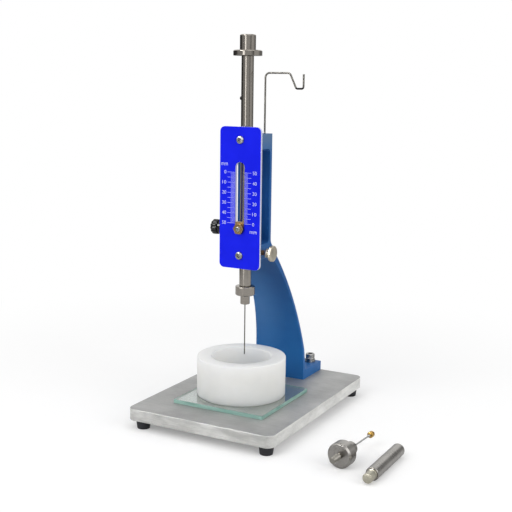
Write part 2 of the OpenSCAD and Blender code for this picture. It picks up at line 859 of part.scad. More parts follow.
module sliding_rod() {
    color([0.62, 0.6, 0.56])
    difference() {
        union() {
            translate([0, 0, rod_bottom]) cylinder(h = rod_l, d = rod_d);
            translate([0, 0, rod_top]) shaft(rod_spigot_d, rod_spigot_l, 0, edge_break);
        }
        translate([0, 0, rod_bottom - cut])
        cylinder(h = holder_spigot_l + tip_room + cut, r = holder_spigot_d / 2 + seat_fit);
        translate([0, 0, stop_pin_z])
        facing_left() cylinder(h = rod_d, r = stop_pin_d / 2 + seat_fit);
    }
}

module stop_pin() {
    color([0.2, 0.2, 0.22])
    translate([-tip_room, 0, stop_pin_z])
    facing_left() shaft(stop_pin_d, rod_d / 2 + stop_pin_out - tip_room, 0, edge_break);
}

module top_weight() {
    color([0.6, 0.58, 0.53])
    translate([0, 0, rod_top])
    difference() {
        union() {
            shaft(weight_flange_d, weight_flange_h, edge_break, weight_chamfer);
            translate([0, 0, weight_flange_h]) shaft(weight_neck_d, weight_neck_h, 0, weight_chamfer);
        }
        translate([0, 0, -cut])
        cylinder(h = rod_spigot_l + tip_room + cut, r = rod_spigot_d / 2 + seat_fit);
    }
}

module needle_holder() {
    color([0.6, 0.58, 0.53])
    difference() {
        union() {
            translate([0, 0, holder_bottom]) shaft(holder_neck_d, holder_neck_h, holder_chamfer / 2, 0);
            translate([0, 0, flange_bottom])
            shaft(holder_flange_d, holder_flange_h, holder_chamfer, holder_chamfer);
            translate([0, 0, rod_bottom]) shaft(holder_spigot_d, holder_spigot_l, 0, edge_break);
        }
        translate([0, 0, holder_bottom - cut])
        cylinder(h = needle_seat + cut, r = needle_d / 2 + seat_fit);
    }
}

module needle() {
    color([0.65, 0.65, 0.63])
    translate([0, 0, needle_tip]) cylinder(h = needle_l + needle_seat, d = needle_d);
}

// ---- clamp knob ----

// A soft pad on +Z, which starts just off the rod
module pad() {
    translate([0, 0, rod_d / 2 + pad_gap]) cylinder(h = pad_t, d = pad_d);
}

module clamp_pad() {
    color([0.75, 0.6, 0.35])
    translate([0, 0, clamp_z]) facing_left() pad();
}

module clamp_stud() {
    length = knob_out + knob_hub_l + knob_groove_w + knob_head_l / 2 - pad_end;
    color([0.6, 0.6, 0.58])
    translate([0, 0, clamp_z])
    facing_left()
    translate([0, 0, pad_end])
    shaft(stud_d, length, edge_break, edge_break);
}

module clamp_knob() {
    hub_end = knob_out + knob_hub_l;
    head_start = hub_end + knob_groove_w;
    head_end = head_start + knob_head_l;
    rim = knob_head_l / 4;
    color([0.08, 0.08, 0.09])
    translate([0, 0, clamp_z])
    facing_left()
    difference() {
        turned([
            [0, knob_out], [knob_hub_d / 2 - edge_break, knob_out],
            [knob_hub_d / 2, knob_out + edge_break],
            [knob_hub_d / 2, hub_end], [knob_hub_d / 2 - knob_groove_h, hub_end],
            [knob_hub_d / 2 - knob_groove_h, head_start], [knob_d / 2 - rim / 2, head_start],
            [knob_d / 2, head_start + rim / 2], [knob_d / 2, head_end - rim],
            [knob_d / 2 - rim, head_end], [0, head_end]
        ]);
        translate([0, 0, knob_out - cut])
        cylinder(h = head_start + knob_head_l / 2 + tip_room - knob_out + cut, r = stud_hole_r);
        for (i = [0:flutes - 1]) {
            rotate(i * 360 / flutes)
            translate([knob_d / 2 + flute_h, 0, hub_end + knob_groove_w / 2])
            cylinder(h = knob_head_l + cut, r = 2 * flute_h, $fn = 24);
        }
    }
}

// ---- lock screw ----

module lock_pad() {
    color([0.75, 0.6, 0.35])
    translate([0, 0, lock_z]) facing_right() pad();
}

module lock_screw() {
    shoulder = head_w / 2 + lock_free_l;
    neck = shoulder + lock_shoulder_l;
    head = neck + lock_neck_l;
    end = head + lock_head_l;
    rim = lock_head_l / 6;
    color([0.73, 0.69, 0.6])
    translate([0, 0, lock_z])
    facing_right()
    turned([
        [0, pad_end], [stud_d / 2 - edge_break, pad_end], [stud_d / 2, pad_end + edge_break],
        [stud_d / 2, shoulder], [lock_shoulder_d / 2, shoulder], [lock_shoulder_d / 2, neck],
        [lock_neck_d / 2, neck], [lock_neck_d / 2, head], [lock_head_d / 2 - rim, head],
        [lock_head_d / 2, head + rim], [lock_head_d / 2, end - rim],
        [lock_head_d / 2 - rim, end], [0, end]
    ]);
}

// ---- glass plate and mould ----

module glass_plate() {
    color([0.6, 0.75, 0.7, 0.5])
    translate([-glass_w / 2, -glass_w / 2 - glass_front, base_top])
    cube([glass_w, glass_w, glass_t]);
}

module mould() {
    c = mould_chamfer;
    color([0.9, 0.9, 0.88])
    translate([-mould_left, -mould_front, glass_top])
    turned([
        [mould_bottom_d / 2, 0], [mould_d / 2 - c, 0], [mould_d / 2, c],
        [mould_d / 2, mould_h - c], [mould_d / 2 - c, mould_h],
        [mould_top_d / 2 + c, mould_h], [mould_top_d / 2, mould_h - c]
    ]);
}

// ---- loose needle with ring ----

// Lays a shape on +Z down, with its holder's flange on the bench and its needle level
module lying() {
    translate([set_x, -set_front, set_flange_d / 2])
    rotate([-90, 0, -set_turn]) children();
}

module final_needle_holder() {
    color([0.58, 0.57, 0.55])
    lying()
    difference() {
        union() {
            translate([0, 0, -set_spigot_l]) shaft(set_spigot_d, set_spigot_l, edge_break, 0);
            shaft(set_flange_d, set_flange_l, set_chamfer, set_chamfer);
            translate([0, 0, set_flange_l]) shaft(set_step_d, set_step_l, 0, set_chamfer);
        }
        translate([0, 0, set_needle_start - set_needle_seat])
        cylinder(h = set_needle_seat + cut, r = set_needle_d / 2 + seat_fit);
    }
}

module final_needle() {
    length = set_needle_seat + set_needle_l - ferrule_l;
    color([0.65, 0.65, 0.63])
    lying()
    translate([0, 0, set_needle_start - set_needle_seat]) {
        cylinder(h = length, d = set_needle_d);
        translate([0, 0, length]) shaft(ferrule_d, ferrule_l, edge_break, 0);
    }
}

module ring_attachment() {
    color([0.78, 0.6, 0.28])
    lying()
    translate([0, 0, ring_start]) shaft(ring_d, ring_l, edge_break, 0);
}

// ---- loose plunger ----

module plunger() {
    color([0.62, 0.6, 0.56])
    translate([plunger_x, -plunger_front, plunger_d / 2])
    rotate([-90, 0, 0]) {
        translate([0, 0, -plunger_spigot_l])
        shaft(plunger_spigot_d, plunger_spigot_l, plunger_chamfer, 0);
        shaft(plunger_d, plunger_l, plunger_chamfer, plunger_chamfer);
    }
}

base_plate();
rubber_feet();
foot_screws();
stand();
stand_bolts();
spring_washers();
flat_washers();
upper_bush();
lower_bush();
scale_plate();
scale_plate_screws();
wire_hook();
pointer_collar();
pointer();
pointer_screw();
sliding_rod();
stop_pin();
top_weight();
needle_holder();
needle();
clamp_pad();
clamp_stud();
clamp_knob();
lock_pad();
lock_screw();
glass_plate();
mould();
final_needle_holder();
final_needle();
ring_attachment();
plunger();
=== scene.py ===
"""Looks of a Vicat apparatus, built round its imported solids.

Metres, +Z up, the rod's axis on Z and the front on -Y. Lengths are written in mm and made metres by MM.
"""

import math

import bpy
from mathutils import Matrix, Vector


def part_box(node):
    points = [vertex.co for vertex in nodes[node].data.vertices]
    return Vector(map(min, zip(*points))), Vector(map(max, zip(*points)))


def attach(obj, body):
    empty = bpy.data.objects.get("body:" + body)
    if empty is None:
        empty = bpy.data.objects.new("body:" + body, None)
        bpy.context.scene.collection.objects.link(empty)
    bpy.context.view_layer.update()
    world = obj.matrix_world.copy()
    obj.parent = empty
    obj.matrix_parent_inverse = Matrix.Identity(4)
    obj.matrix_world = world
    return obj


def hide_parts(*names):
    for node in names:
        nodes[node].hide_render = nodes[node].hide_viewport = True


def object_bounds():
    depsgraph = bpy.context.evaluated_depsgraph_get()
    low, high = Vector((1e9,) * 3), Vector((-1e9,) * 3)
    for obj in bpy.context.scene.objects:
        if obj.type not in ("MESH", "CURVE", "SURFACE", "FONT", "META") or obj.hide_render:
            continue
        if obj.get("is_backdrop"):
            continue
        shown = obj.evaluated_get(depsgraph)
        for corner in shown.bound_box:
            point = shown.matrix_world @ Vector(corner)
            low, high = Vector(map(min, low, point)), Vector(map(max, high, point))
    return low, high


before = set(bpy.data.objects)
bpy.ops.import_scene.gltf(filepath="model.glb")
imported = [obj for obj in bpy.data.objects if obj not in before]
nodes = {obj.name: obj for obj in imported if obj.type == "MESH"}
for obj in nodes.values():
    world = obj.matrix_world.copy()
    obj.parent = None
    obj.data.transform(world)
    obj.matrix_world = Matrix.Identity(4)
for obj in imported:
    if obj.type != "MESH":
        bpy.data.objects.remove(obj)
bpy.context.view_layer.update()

MM = 0.001

# Sizes that a finish shares with its piece
CHAMFER = 0.8
SLOT_HALF_W = 5
MOULD_X, MOULD_Y = -2, -2.5
BORE_FOOT_R = 35


# ---- finishes ----


class Sock:
    """A shader socket that takes part in plain arithmetic."""

    def __init__(self, finish, socket):
        self.finish = finish
        self.socket = socket

    def maths(self, operation, left, right):
        return self.finish.node("Math", {"operation": operation}, {0: left, 1: right})

    def __add__(self, other):
        return self.maths("ADD", self, other)

    __radd__ = __add__

    def __sub__(self, other):
        return self.maths("SUBTRACT", self, other)

    def __rsub__(self, other):
        return self.maths("SUBTRACT", other, self)

    def __mul__(self, other):
        return self.maths("MULTIPLY", self, other)

    __rmul__ = __mul__

    def __lt__(self, other):
        return self.maths("LESS_THAN", self, other)

    def __gt__(self, other):
        return self.maths("GREATER_THAN", self, other)


class Finish:
    """A material on one Principled shader, whose other nodes are added as its pattern asks."""

    def __init__(self, name, plain=None):
        self.material = bpy.data.materials.new(name)
        self.material.use_nodes = True
        self.tree = self.material.node_tree
        self.shader = self.tree.nodes["Principled BSDF"]
        self.output = self.tree.nodes["Material Output"]
        self.set(plain or {})

    def feed(self, slot, value):
        if isinstance(value, Sock):
            self.tree.links.new(value.socket, slot)
        else:
            slot.default_value = value

    def set(self, values):
        for key, value in values.items():
            self.feed(self.shader.inputs[key], value)

    def node(self, kind, settings=None, values=None, out=0):
        made = self.tree.nodes.new("ShaderNode" + kind)
        for key, value in (settings or {}).items():
            if key == "stops":
                self.ramp_stops(made.color_ramp, value)
            else:
                setattr(made, key, value)
        for key, value in (values or {}).items():
            self.feed(made.inputs[key], value)
        return Sock(self, made.outputs[out])

    @staticmethod
    def ramp_stops(ramp, stops):
        while len(ramp.elements) < len(stops):
            ramp.elements.new(0.5)
        for element, (place, colour) in zip(ramp.elements, stops):
            element.position = place
            element.color = (*colour, 1)

    def place(self, stretch=(1, 1, 1)):
        """The piece's own coordinates, in metres, stretched for grain that runs one way."""
        spot = self.node("TexCoord", out="Object")
        return self.node("Mapping", {}, {"Vector": spot, "Scale": stretch})

    def along(self, axis):
        """How far along an axis of the piece a spot lies, in metres."""
        return self.node("SeparateXYZ", {}, {0: self.place()}, out=axis)

    def distance(self, centre, weight=(1, 1, 1)):
        """How far a spot lies from a centre, with each axis counted by its weight."""
        spot = self.node("VectorMath", {"operation": "MULTIPLY"}, {0: self.place(), 1: weight})
        return self.node("VectorMath", {"operation": "DISTANCE"}, {0: spot, 1: centre}, out="Value")

    def fade(self, value, start, end, first=0.0, last=1.0, course="LINEAR"):
        """Goes from first to last while the value goes from start to end."""
        return self.node("MapRange", {"interpolation_type": course}, {
            "Value": value, "From Min": start, "From Max": end, "To Min": first, "To Max": last,
        })

    def noise(self, scale, detail=4, roughness=0.55, stretch=(1, 1, 1)):
        values = {"Vector": self.place(stretch), "Scale": scale, "Detail": detail, "Roughness": roughness}
        return self.node("TexNoise", {}, values)

    def facing(self, axis):
        """How far the surface faces along an axis of the piece, from -1 to 1."""
        normal = self.node("TexCoord", out="Normal")
        return self.node("SeparateXYZ", {}, {0: normal}, out=axis)

    def ramp(self, factor, stops):
        return self.node("ValToRGB", {"stops": stops}, {0: factor})

    def mix(self, factor, first, second):
        values = {0: factor, 6: colour_or_sock(first), 7: colour_or_sock(second)}
        return self.node("Mix", {"data_type": "RGBA"}, values, out=2)

    def bump(self, height, distance_mm, strength=1.0):
        values = {"Height": height, "Distance": distance_mm * MM, "Strength": strength}
        self.set({"Normal": self.node("Bump", {}, values)})


def colour_or_sock(value):
    return value if isinstance(value, Sock) else (*value, 1)


def brushed_plate():
    """The base plate: brushed steel on top, paler sawn and satin edges, with painted light making the sides
    that face X paler still.
    """
    f = Finish("brushed_plate", {"Metallic": 0.75})
    clouds = f.noise(22, 5, 0.6)
    lines = f.noise(60, 3, 0.6, (1, 26, 26))
    patches = f.noise(26, 5, 0.6, (1, 1, 3))
    top = f.ramp(clouds * 0.65 + lines * 0.35, [(0.36, (0.30, 0.30, 0.295)), (0.66, (0.49, 0.49, 0.48))])
    across = f.facing("X")
    # Painted light: sides facing X move up the ramp and come out paler, the front and back a little darker;
    # the sawn marks come from the noise.
    sawn_marks_and_lit_sides = patches * 0.7 + lines * 0.3 + 0.25 * across * across - 0.05
    side = f.ramp(sawn_marks_and_lit_sides, [(0.38, (0.42, 0.42, 0.405)), (0.80, (0.92, 0.92, 0.895))])
    on_top = f.facing("Z") > 0.7
    f.set({
        "Base Color": f.mix(on_top, side, top),
        "Roughness": 0.38 + 0.22 * clouds + 0.08 * lines,
    })
    f.bump(lines, 0.02, 0.35)
    return f.material


def black_rubber():
    """Dusty black rubber."""
    f = Finish("black_rubber", {"Specular IOR Level": 0.4})
    grain = f.noise(900, 3)
    dust = f.noise(70, 4)
    f.set({
        "Base Color": f.ramp(dust, [(0.35, (0.010, 0.011, 0.014)), (0.75, (0.03, 0.031, 0.036))]),
        "Roughness": 0.42 + 0.25 * dust,
    })
    f.bump(grain, 0.05, 0.4)
    return f.material


# The centre of the web's painted highlight, a paler patch: across, and half its height, because height
# counts half
HIGHLIGHT_PATCH_CENTRE = (-16 * MM, 0, 51 * MM)


def blue_casting():
    """Semi-gloss paint, with a painted highlight as a paler patch on the web's front and a painted sheen
    that greys the upper arm's side.
    """
    f = Finish("blue_casting", {"Specular IOR Level": 0.32})
    shade = f.noise(10, 4)
    peel = f.noise(420, 2, 0.4)
    swell = f.noise(45, 3)
    # Painted highlight: the paint is mixed paler in a soft patch round this centre on the web's front.
    pale = f.fade(f.distance(HIGHLIGHT_PATCH_CENTRE, (1, 0, 0.5)), 2 * MM, 30 * MM, 0.7, 0.0)
    paint = f.ramp(shade, [(0.3, (0.005, 0.078, 0.262)), (0.75, (0.018, 0.148, 0.430))])
    paint = f.mix(pale, paint, (0.055, 0.180, 0.430))
    # Painted sheen: the side facing X is greyed towards the top of the upper arm.
    painted_sheen_side = f.fade(f.along("Z"), 266 * MM, 287 * MM, 0.0, 0.8) * (f.facing("X") > 0.5)
    f.set({
        "Base Color": f.mix(painted_sheen_side, paint, (0.115, 0.190, 0.300)),
        "Roughness": 0.38 + 0.14 * shade,
    })
    f.bump(peel * 0.4 + swell, 0.08, 0.3)
    return f.material


def blue_plate():
    """Vivid enamel on the plate's face and bare metal on its outer cut edges; in the slot the edges facing
    -X take the enamel, so only the slot's wall facing +X stays pale, painted light set by which way it
    faces.
    """
    f = Finish("blue_plate", {"Specular IOR Level": 0.1})
    shade = f.noise(30, 4)
    grain = f.noise(700, 2)
    face = f.facing("Y")
    aside = f.along("X")
    in_slot = (aside * aside) < ((SLOT_HALF_W + 1.5) * MM) ** 2
    # In the slot, pale bare metal stays only on the wall facing +X and the edges facing -X take the enamel:
    # painted light by facing.
    flat = ((face * face) + in_slot * (f.facing("X") < -0.05)) > 0.5
    paint = f.ramp(shade, [(0.3, (0.004, 0.010, 0.76)), (0.7, (0.008, 0.016, 0.87))])
    edge = f.ramp(grain, [(0.3, (0.62, 0.63, 0.80)), (0.7, (0.78, 0.79, 0.92))])
    f.set({
        "Base Color": f.mix(flat, edge, paint),
        "Metallic": 0.4 - 0.4 * flat,
        "Roughness": 0.42 + 0.1 * shade,
    })
    f.bump(grain, 0.02, 0.2)
    return f.material


def turned_metal(name, dark, pale, axis="Z", roughness=0.24):
    """Bright metal with fine turning marks round an axis and faint streaks along it."""
    f = Finish(name, {"Metallic": 1.0})
    rings = tuple(1.0 if a == axis else 0.02 for a in "XYZ")
    runs = tuple(0.04 if a == axis else 1.0 for a in "XYZ")
    marks = f.noise(2600, 2, 0.5, rings)
    streaks = f.noise(420, 3, 0.6, runs)
    clouds = f.noise(60, 4)
    f.set({
        "Base Color": f.ramp(streaks * 0.4 + clouds * 0.6, [(0.32, dark), (0.68, pale)]),
        "Roughness": roughness - 0.05 + 0.06 * marks + 0.06 * clouds,
    })
    f.bump(marks, 0.004, 0.3)
    return f.material


def plain_metal(name, dark, pale, roughness=0.3, scale=160, grain_mm=0.006, stain=None):
    """Plated or drawn metal with small clouds, and a dark stain past a place on X and below one on Z."""
    f = Finish(name, {"Metallic": 1.0})
    clouds = f.noise(scale, 4)
    grain = f.noise(scale * 9, 2)
    colour = f.ramp(clouds, [(0.32, dark), (0.68, pale)])
    if stain:
        start, top = stain
        stained = (f.along("Z") < top) * (f.along("X") > start)
        colour = f.mix(stained, colour, (0.012, 0.012, 0.013))
    f.set({
        "Base Color": colour,
        "Roughness": roughness - 0.05 + 0.14 * clouds,
    })
    f.bump(grain, grain_mm, 0.3)
    return f.material


def black_plastic():
    """Glossy moulded plastic."""
    f = Finish("black_plastic", {"Specular IOR Level": 0.32})
    haze = f.noise(180, 4)
    f.set({
        "Base Color": f.ramp(haze, [(0.3, (0.005, 0.005, 0.006)), (0.75, (0.014, 0.014, 0.015))]),
        "Roughness": 0.04 + 0.08 * haze,
    })
    f.bump(haze, 0.004, 0.3)
    return f.material


def plate_glass():
    """Float glass: clear through its faces, green where the light runs along it to an edge."""
    f = Finish("plate_glass", {"IOR": 1.5, "Transmission Weight": 1.0})
    upward = f.facing("Z")
    flat = (upward * upward) > 0.5
    ground = f.noise(600, 3)
    depth = f.noise(40, 3, 0.5, (1, 1, 6))
    edge = f.ramp(depth, [(0.32, (0.27, 0.52, 0.45)), (0.68, (0.52, 0.76, 0.69))])
    f.set({
        "Base Color": f.mix(flat, edge, (0.93, 0.985, 0.965)),
        "Roughness": 0.02 + (1 - flat) * 0.28,
    })
    f.bump(ground * (1 - flat), 0.02, 0.4)
    body = f.node("BsdfDiffuse", {}, {"Color": edge})
    share = 0.6 - 0.6 * flat
    blend = f.node("MixShader", {}, {0: share, 1: Sock(f, f.shader.outputs[0]), 2: body})
    f.feed(f.output.inputs["Surface"], blend)
    return f.material


def mould_plastic():
    """Milky plastic that light gets into, painted paler and warmer inside the bore for the light that
    gathers in it.
    """
    f = Finish("mould_plastic", {
        "Subsurface Weight": 1.0, "Subsurface Scale": 0.035, "Subsurface Radius": (1.0, 0.97, 0.9),
        "IOR": 1.5, "Specular IOR Level": 0.35,
    })
    haze = f.noise(28, 4)
    turning = f.noise(2600, 2, 0.5, (0.02, 0.02, 1))
    from_axis = f.distance((MOULD_X * MM, MOULD_Y * MM, 0), (1, 1, 0))
    # Painted light: the bore's inner wall is made paler and warmer, standing in for light bouncing round
    # the bore and coming through its wall.
    painted_light_bore = (from_axis < (BORE_FOOT_R + 0.5) * MM) * (f.facing("Z") < 0.6)
    body = f.ramp(haze, [(0.3, (0.785, 0.78, 0.75)), (0.7, (0.845, 0.84, 0.81))])
    f.set({
        "Base Color": f.mix(painted_light_bore, body, (0.99, 0.985, 0.93)),
        "Roughness": 0.42 + 0.12 * haze,
    })
    f.bump(turning, 0.01, 0.3)
    return f.material


def white_print():
    """Screen-printed ink, a little worn."""
    f = Finish("white_print", {"Roughness": 0.5})
    wear = f.noise(900, 3)
    f.set({"Base Color": f.ramp(wear, [(0.25, (0.56, 0.58, 0.80)), (0.6, (0.78, 0.80, 0.93))])})
    return f.material


FINISHES = {
    "brushed_plate": brushed_plate(),
    "black_rubber": black_rubber(),
    "blue_casting": blue_casting(),
    "blue_plate": blue_plate(),
    "turned_steel": turned_metal("turned_steel", (0.30, 0.275, 0.245), (0.38, 0.355, 0.32), "Z", 0.15),
    "bright_zinc": plain_metal("bright_zinc", (0.27, 0.27, 0.265), (0.46, 0.46, 0.445), 0.24),
    "dark_steel": plain_metal("dark_steel", (0.02, 0.02, 0.022), (0.07, 0.07, 0.075)),
    "nickel": plain_metal("nickel", (0.50, 0.455, 0.36), (0.70, 0.645, 0.53), 0.38),
    "brass": plain_metal("brass", (0.22, 0.145, 0.065), (0.42, 0.28, 0.13)),
    "bronze_bush": plain_metal("bronze_bush", (0.25, 0.16, 0.08), (0.42, 0.29, 0.15), 0.45),
    "black_plastic": black_plastic(),
    "wire_steel": plain_metal("wire_steel", (0.10, 0.095, 0.085), (0.16, 0.155, 0.14), 0.35, 60, 0.001),
    "plate_glass": plate_glass(),
    "mould_plastic": mould_plastic(),
}
LYING_STEEL = turned_metal("lying_steel", (0.25, 0.24, 0.225), (0.37, 0.355, 0.335), "Y", 0.27)
# A darker copy of the turned steel for the loose holder's thread: painted shade.
SHADED_THREAD_STEEL = turned_metal("shaded_thread_steel", (0.21, 0.20, 0.18), (0.36, 0.345, 0.31), "Y", 0.30)
# A paler, warmer copy of the turned steel for the plunger's spigot: painted light.
LIT_SPIGOT_STEEL = turned_metal("lit_spigot_steel", (0.36, 0.34, 0.27), (0.52, 0.50, 0.42), "Y", 0.36)
BRIGHT_BRASS = plain_metal("bright_brass", (0.34, 0.19, 0.04), (0.66, 0.42, 0.12), 0.24)
DARK_THREAD = plain_metal("dark_thread", (0.035, 0.025, 0.020), (0.13, 0.085, 0.055), 0.35)
HOOK_STAIN = (45 * MM, 333.1 * MM)
HOOK_WIRE = plain_metal("hook_wire", (0.14, 0.135, 0.12), (0.21, 0.20, 0.18), 0.55, 60, 0.001, HOOK_STAIN)
WHITE_PRINT = white_print()


# ---- workshop ----


def put_tools_down():
    """Leaves edit mode and deselects everything, because an operator acts on all that is selected."""
    if bpy.context.object and bpy.context.object.mode != "OBJECT":
        bpy.ops.object.mode_set(mode="OBJECT")
    bpy.ops.object.select_all(action="DESELECT")


def pick(piece):
    """Selects one piece alone."""
    put_tools_down()
    piece.select_set(True)
    bpy.context.view_layer.objects.active = piece


def settle(piece, place=None):
    """Puts the piece's place into its mesh and leaves its object at the origin."""
    pick(piece)
    piece.data.transform((place or Matrix.Identity(4)) @ piece.matrix_world)
    piece.matrix_world = Matrix.Identity(4)
    return piece


def apply_modifier(piece, kind, **settings):
    """Adds a modifier with its settings and applies it at once."""
    pick(piece)
    modifier = piece.modifiers.new(kind.lower(), kind)
    for key, value in settings.items():
        setattr(modifier, key, value)
    bpy.ops.object.modifier_apply(modifier=modifier.name)


def soften(piece, width_mm, segments=3, angle=35):
    """Rounds the piece's sharp edges and smooths its shading."""
    pick(piece)
    bpy.ops.object.shade_smooth()
    apply_modifier(
        piece, "BEVEL", width=width_mm * MM, segments=segments, limit_method="ANGLE",
        angle_limit=math.radians(angle), harden_normals=True,
    )
    return piece


def dress(piece, name, slot, body, stands_for=(), material=None):
    """Names a finished piece, gives it its finish and lets it ride on its body."""
    piece.name = name
    piece.data.name = name
    piece.data.materials.clear()
    piece.data.materials.append(material or FINISHES[slot])
    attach(piece, body)
    if stands_for:
        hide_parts(*stands_for)
    return piece


def mend_normals(piece):
    """Merges points that lie on each other and turns all faces outwards."""
    pick(piece)
    bpy.ops.object.mode_set(mode="EDIT")
    bpy.ops.mesh.select_all(action="SELECT")
    bpy.ops.mesh.remove_doubles(threshold=0.0005 * MM)
    bpy.ops.mesh.normals_make_consistent(inside=False)
    bpy.ops.object.mode_set(mode="OBJECT")


def turn(profile, sides=96, hollow=False):
    """A turned piece on +Z: a disc or ring is extruded and resized through [radius, height] in mm."""
    put_tools_down()
    radius, height = profile[0]
    bpy.ops.mesh.primitive_circle_add(
        vertices=sides, radius=radius * MM, fill_type="NOTHING" if hollow else "NGON",
        location=(0, 0, height * MM),
    )
    piece = bpy.context.object
    bpy.ops.object.mode_set(mode="EDIT")
    bpy.ops.mesh.select_all(action="SELECT")
    for (old_r, old_z), (new_r, new_z) in zip(profile, profile[1:]):
        step = {"value": (0, 0, (new_z - old_z) * MM)}
        if hollow:
            bpy.ops.mesh.extrude_edges_move(TRANSFORM_OT_translate=step)
        else:
            bpy.ops.mesh.extrude_region_move(TRANSFORM_OT_translate=step)
        size = new_r / old_r
        bpy.ops.transform.resize(value=(size, size, 1), center_override=(0, 0, new_z * MM))
    bpy.ops.object.mode_set(mode="OBJECT")
    settle(piece)
    mend_normals(piece)
    return piece


def block(low, high):
    """A block between two corners, in metres."""
    put_tools_down()
    bpy.ops.mesh.primitive_cube_add(size=1, location=(Vector(low) + Vector(high)) / 2)
    piece = bpy.context.object
    bpy.ops.object.mode_set(mode="EDIT")
    bpy.ops.transform.resize(value=Vector(high) - Vector(low))
    bpy.ops.object.mode_set(mode="OBJECT")
    return settle(piece)


def pick_edges(piece, wanted):
    """Selects the piece's edges for which wanted(start, end) holds, and enters edit mode."""
    pick(piece)
    bpy.ops.object.mode_set(mode="EDIT")
    bpy.ops.mesh.select_mode(type="EDGE")
    bpy.ops.mesh.select_all(action="DESELECT")
    bpy.ops.object.mode_set(mode="OBJECT")
    points = piece.data.vertices
    for edge in piece.data.edges:
        start, end = (points[i].co for i in edge.vertices)
        edge.select = wanted(start, end)
    bpy.ops.object.mode_set(mode="EDIT")


def squeeze(piece, wanted, factor):
    """Moves the vertices for which wanted(point) holds towards the Z axis, for a flute or a rib."""
    pick(piece)
    bpy.ops.object.mode_set(mode="EDIT")
    bpy.ops.mesh.select_mode(type="VERT")
    bpy.ops.mesh.select_all(action="DESELECT")
    bpy.ops.object.mode_set(mode="OBJECT")
    for point in piece.data.vertices:
        point.select = wanted(point.co)
    bpy.ops.object.mode_set(mode="EDIT")
    bpy.ops.transform.resize(value=(factor, factor, 1), center_override=(0, 0, 0))
    bpy.ops.object.mode_set(mode="OBJECT")


def column(point, sides):
    """The number of the column of vertices that a point of a turned piece lies on."""
    return round(math.atan2(point.y, point.x) / (2 * math.pi) * sides) % sides


def cut_away(piece, tool):
    """Takes the tool's shape out of the piece."""
    apply_modifier(piece, "BOOLEAN", object=tool, operation="DIFFERENCE", solver="EXACT")
    bpy.data.objects.remove(tool)


def join(first, *others):
    """Makes one piece of several."""
    pick(first)
    for other in others:
        other.select_set(True)
    bpy.context.view_layer.objects.active = first
    bpy.ops.object.join()
    return first


def twin(piece, place):
    """A copy with its own mesh, moved by place."""
    copy = piece.copy()
    copy.data = piece.data.copy()
    bpy.context.scene.collection.objects.link(copy)
    copy.data.transform(place)
    return copy


def copy_of_solid(node):
    """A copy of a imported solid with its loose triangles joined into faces."""
    piece = nodes[node].copy()
    piece.data = nodes[node].data.copy()
    piece.parent = None
    for key in list(piece.keys()):
        del piece[key]
    bpy.context.scene.collection.objects.link(piece)
    pick(piece)
    bpy.ops.object.mode_set(mode="EDIT")
    bpy.ops.mesh.select_all(action="SELECT")
    bpy.ops.mesh.remove_doubles(threshold=0.001 * MM)
    bpy.ops.mesh.customdata_custom_splitnormals_clear()
    bpy.ops.mesh.dissolve_limited(angle_limit=math.radians(0.5))
    bpy.ops.mesh.normals_make_consistent(inside=False)
    bpy.ops.object.mode_set(mode="OBJECT")
    return piece


def thread(start, end, diameter, pitch=0.8, depth=0.42):
    """The profile of a thread between two heights: one groove to each pitch."""
    crest_end, root_start = 0.08, 0.42
    outer, inner = diameter / 2, diameter / 2 - depth
    count = max(1, int((end - start) / pitch))
    lead = (end - start - count * pitch) / 2
    profile = []
    for i in range(count):
        z = start + lead + i * pitch
        profile += [
            (outer, z + crest_end * pitch),
            (inner, z + root_start * pitch),
            (inner, z + (1 - root_start) * pitch),
            (outer, z + (1 - crest_end) * pitch),
        ]
    return profile


POINT_LEFT = Matrix.Rotation(math.radians(-90), 4, "Y")
POINT_RIGHT = Matrix.Rotation(math.radians(90), 4, "Y")
POINT_FRONT = Matrix.Rotation(math.radians(90), 4, "X")
POINT_BACK = Matrix.Rotation(math.radians(-90), 4, "X")


def spin(degrees):
    """A turn about the axis that a turned piece is made on."""
    return Matrix.Rotation(math.radians(degrees), 4, "Z")


def shift(x, y, z):
    """A move by three lengths in mm."""
    return Matrix.Translation((x * MM, y * MM, z * MM))


# ---- base plate and feet ----

BASE_CORNER_R = 8
FOOT_SPOTS = [(x, y) for y in (-80.5, 117.5) for x in (-68.5, 68.5)]

low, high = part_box("base_plate")
plate = block(low, high)
pick_edges(plate, lambda a, b: abs(a.z - b.z) > 1 * MM)
bpy.ops.mesh.bevel(offset=BASE_CORNER_R * MM, segments=14, affect="EDGES")
bpy.ops.object.mode_set(mode="OBJECT")
soften(plate, 0.6, 3, 50)
dress(plate, "base_plate_body", "brushed_plate", "root", ["base_plate"])

foot = turn([
    (3.8, 3.4), (3.8, 0.4), (4.2, 0), (5.8, 0), (6.15, 0.15), (6.3, 0.5), (7.35, 8.4), (7.4, 8.8),
    (7.2, 9.0),
], 64)
soften(foot, 0.15, 2)
for i, (x, y) in enumerate(FOOT_SPOTS):
    dress(twin(foot, shift(x, y, 0)), f"rubber_foot_{i + 1}", "black_rubber", "root", ["rubber_feet"])
bpy.data.objects.remove(foot)

# ---- stand, its bolts and bushes ----

casting = copy_of_solid("stand")
soften(casting, 0.7, 3, 40)
dress(casting, "stand_casting", "blue_casting", "root", ["stand"])

BOLT_X, BOLT_Y = 19, 118
BOLT_TOP = 40.2
SOCKET_R, SOCKET_H = 2.887, 3
RIBS = 80
RIB_SINK = 0.955

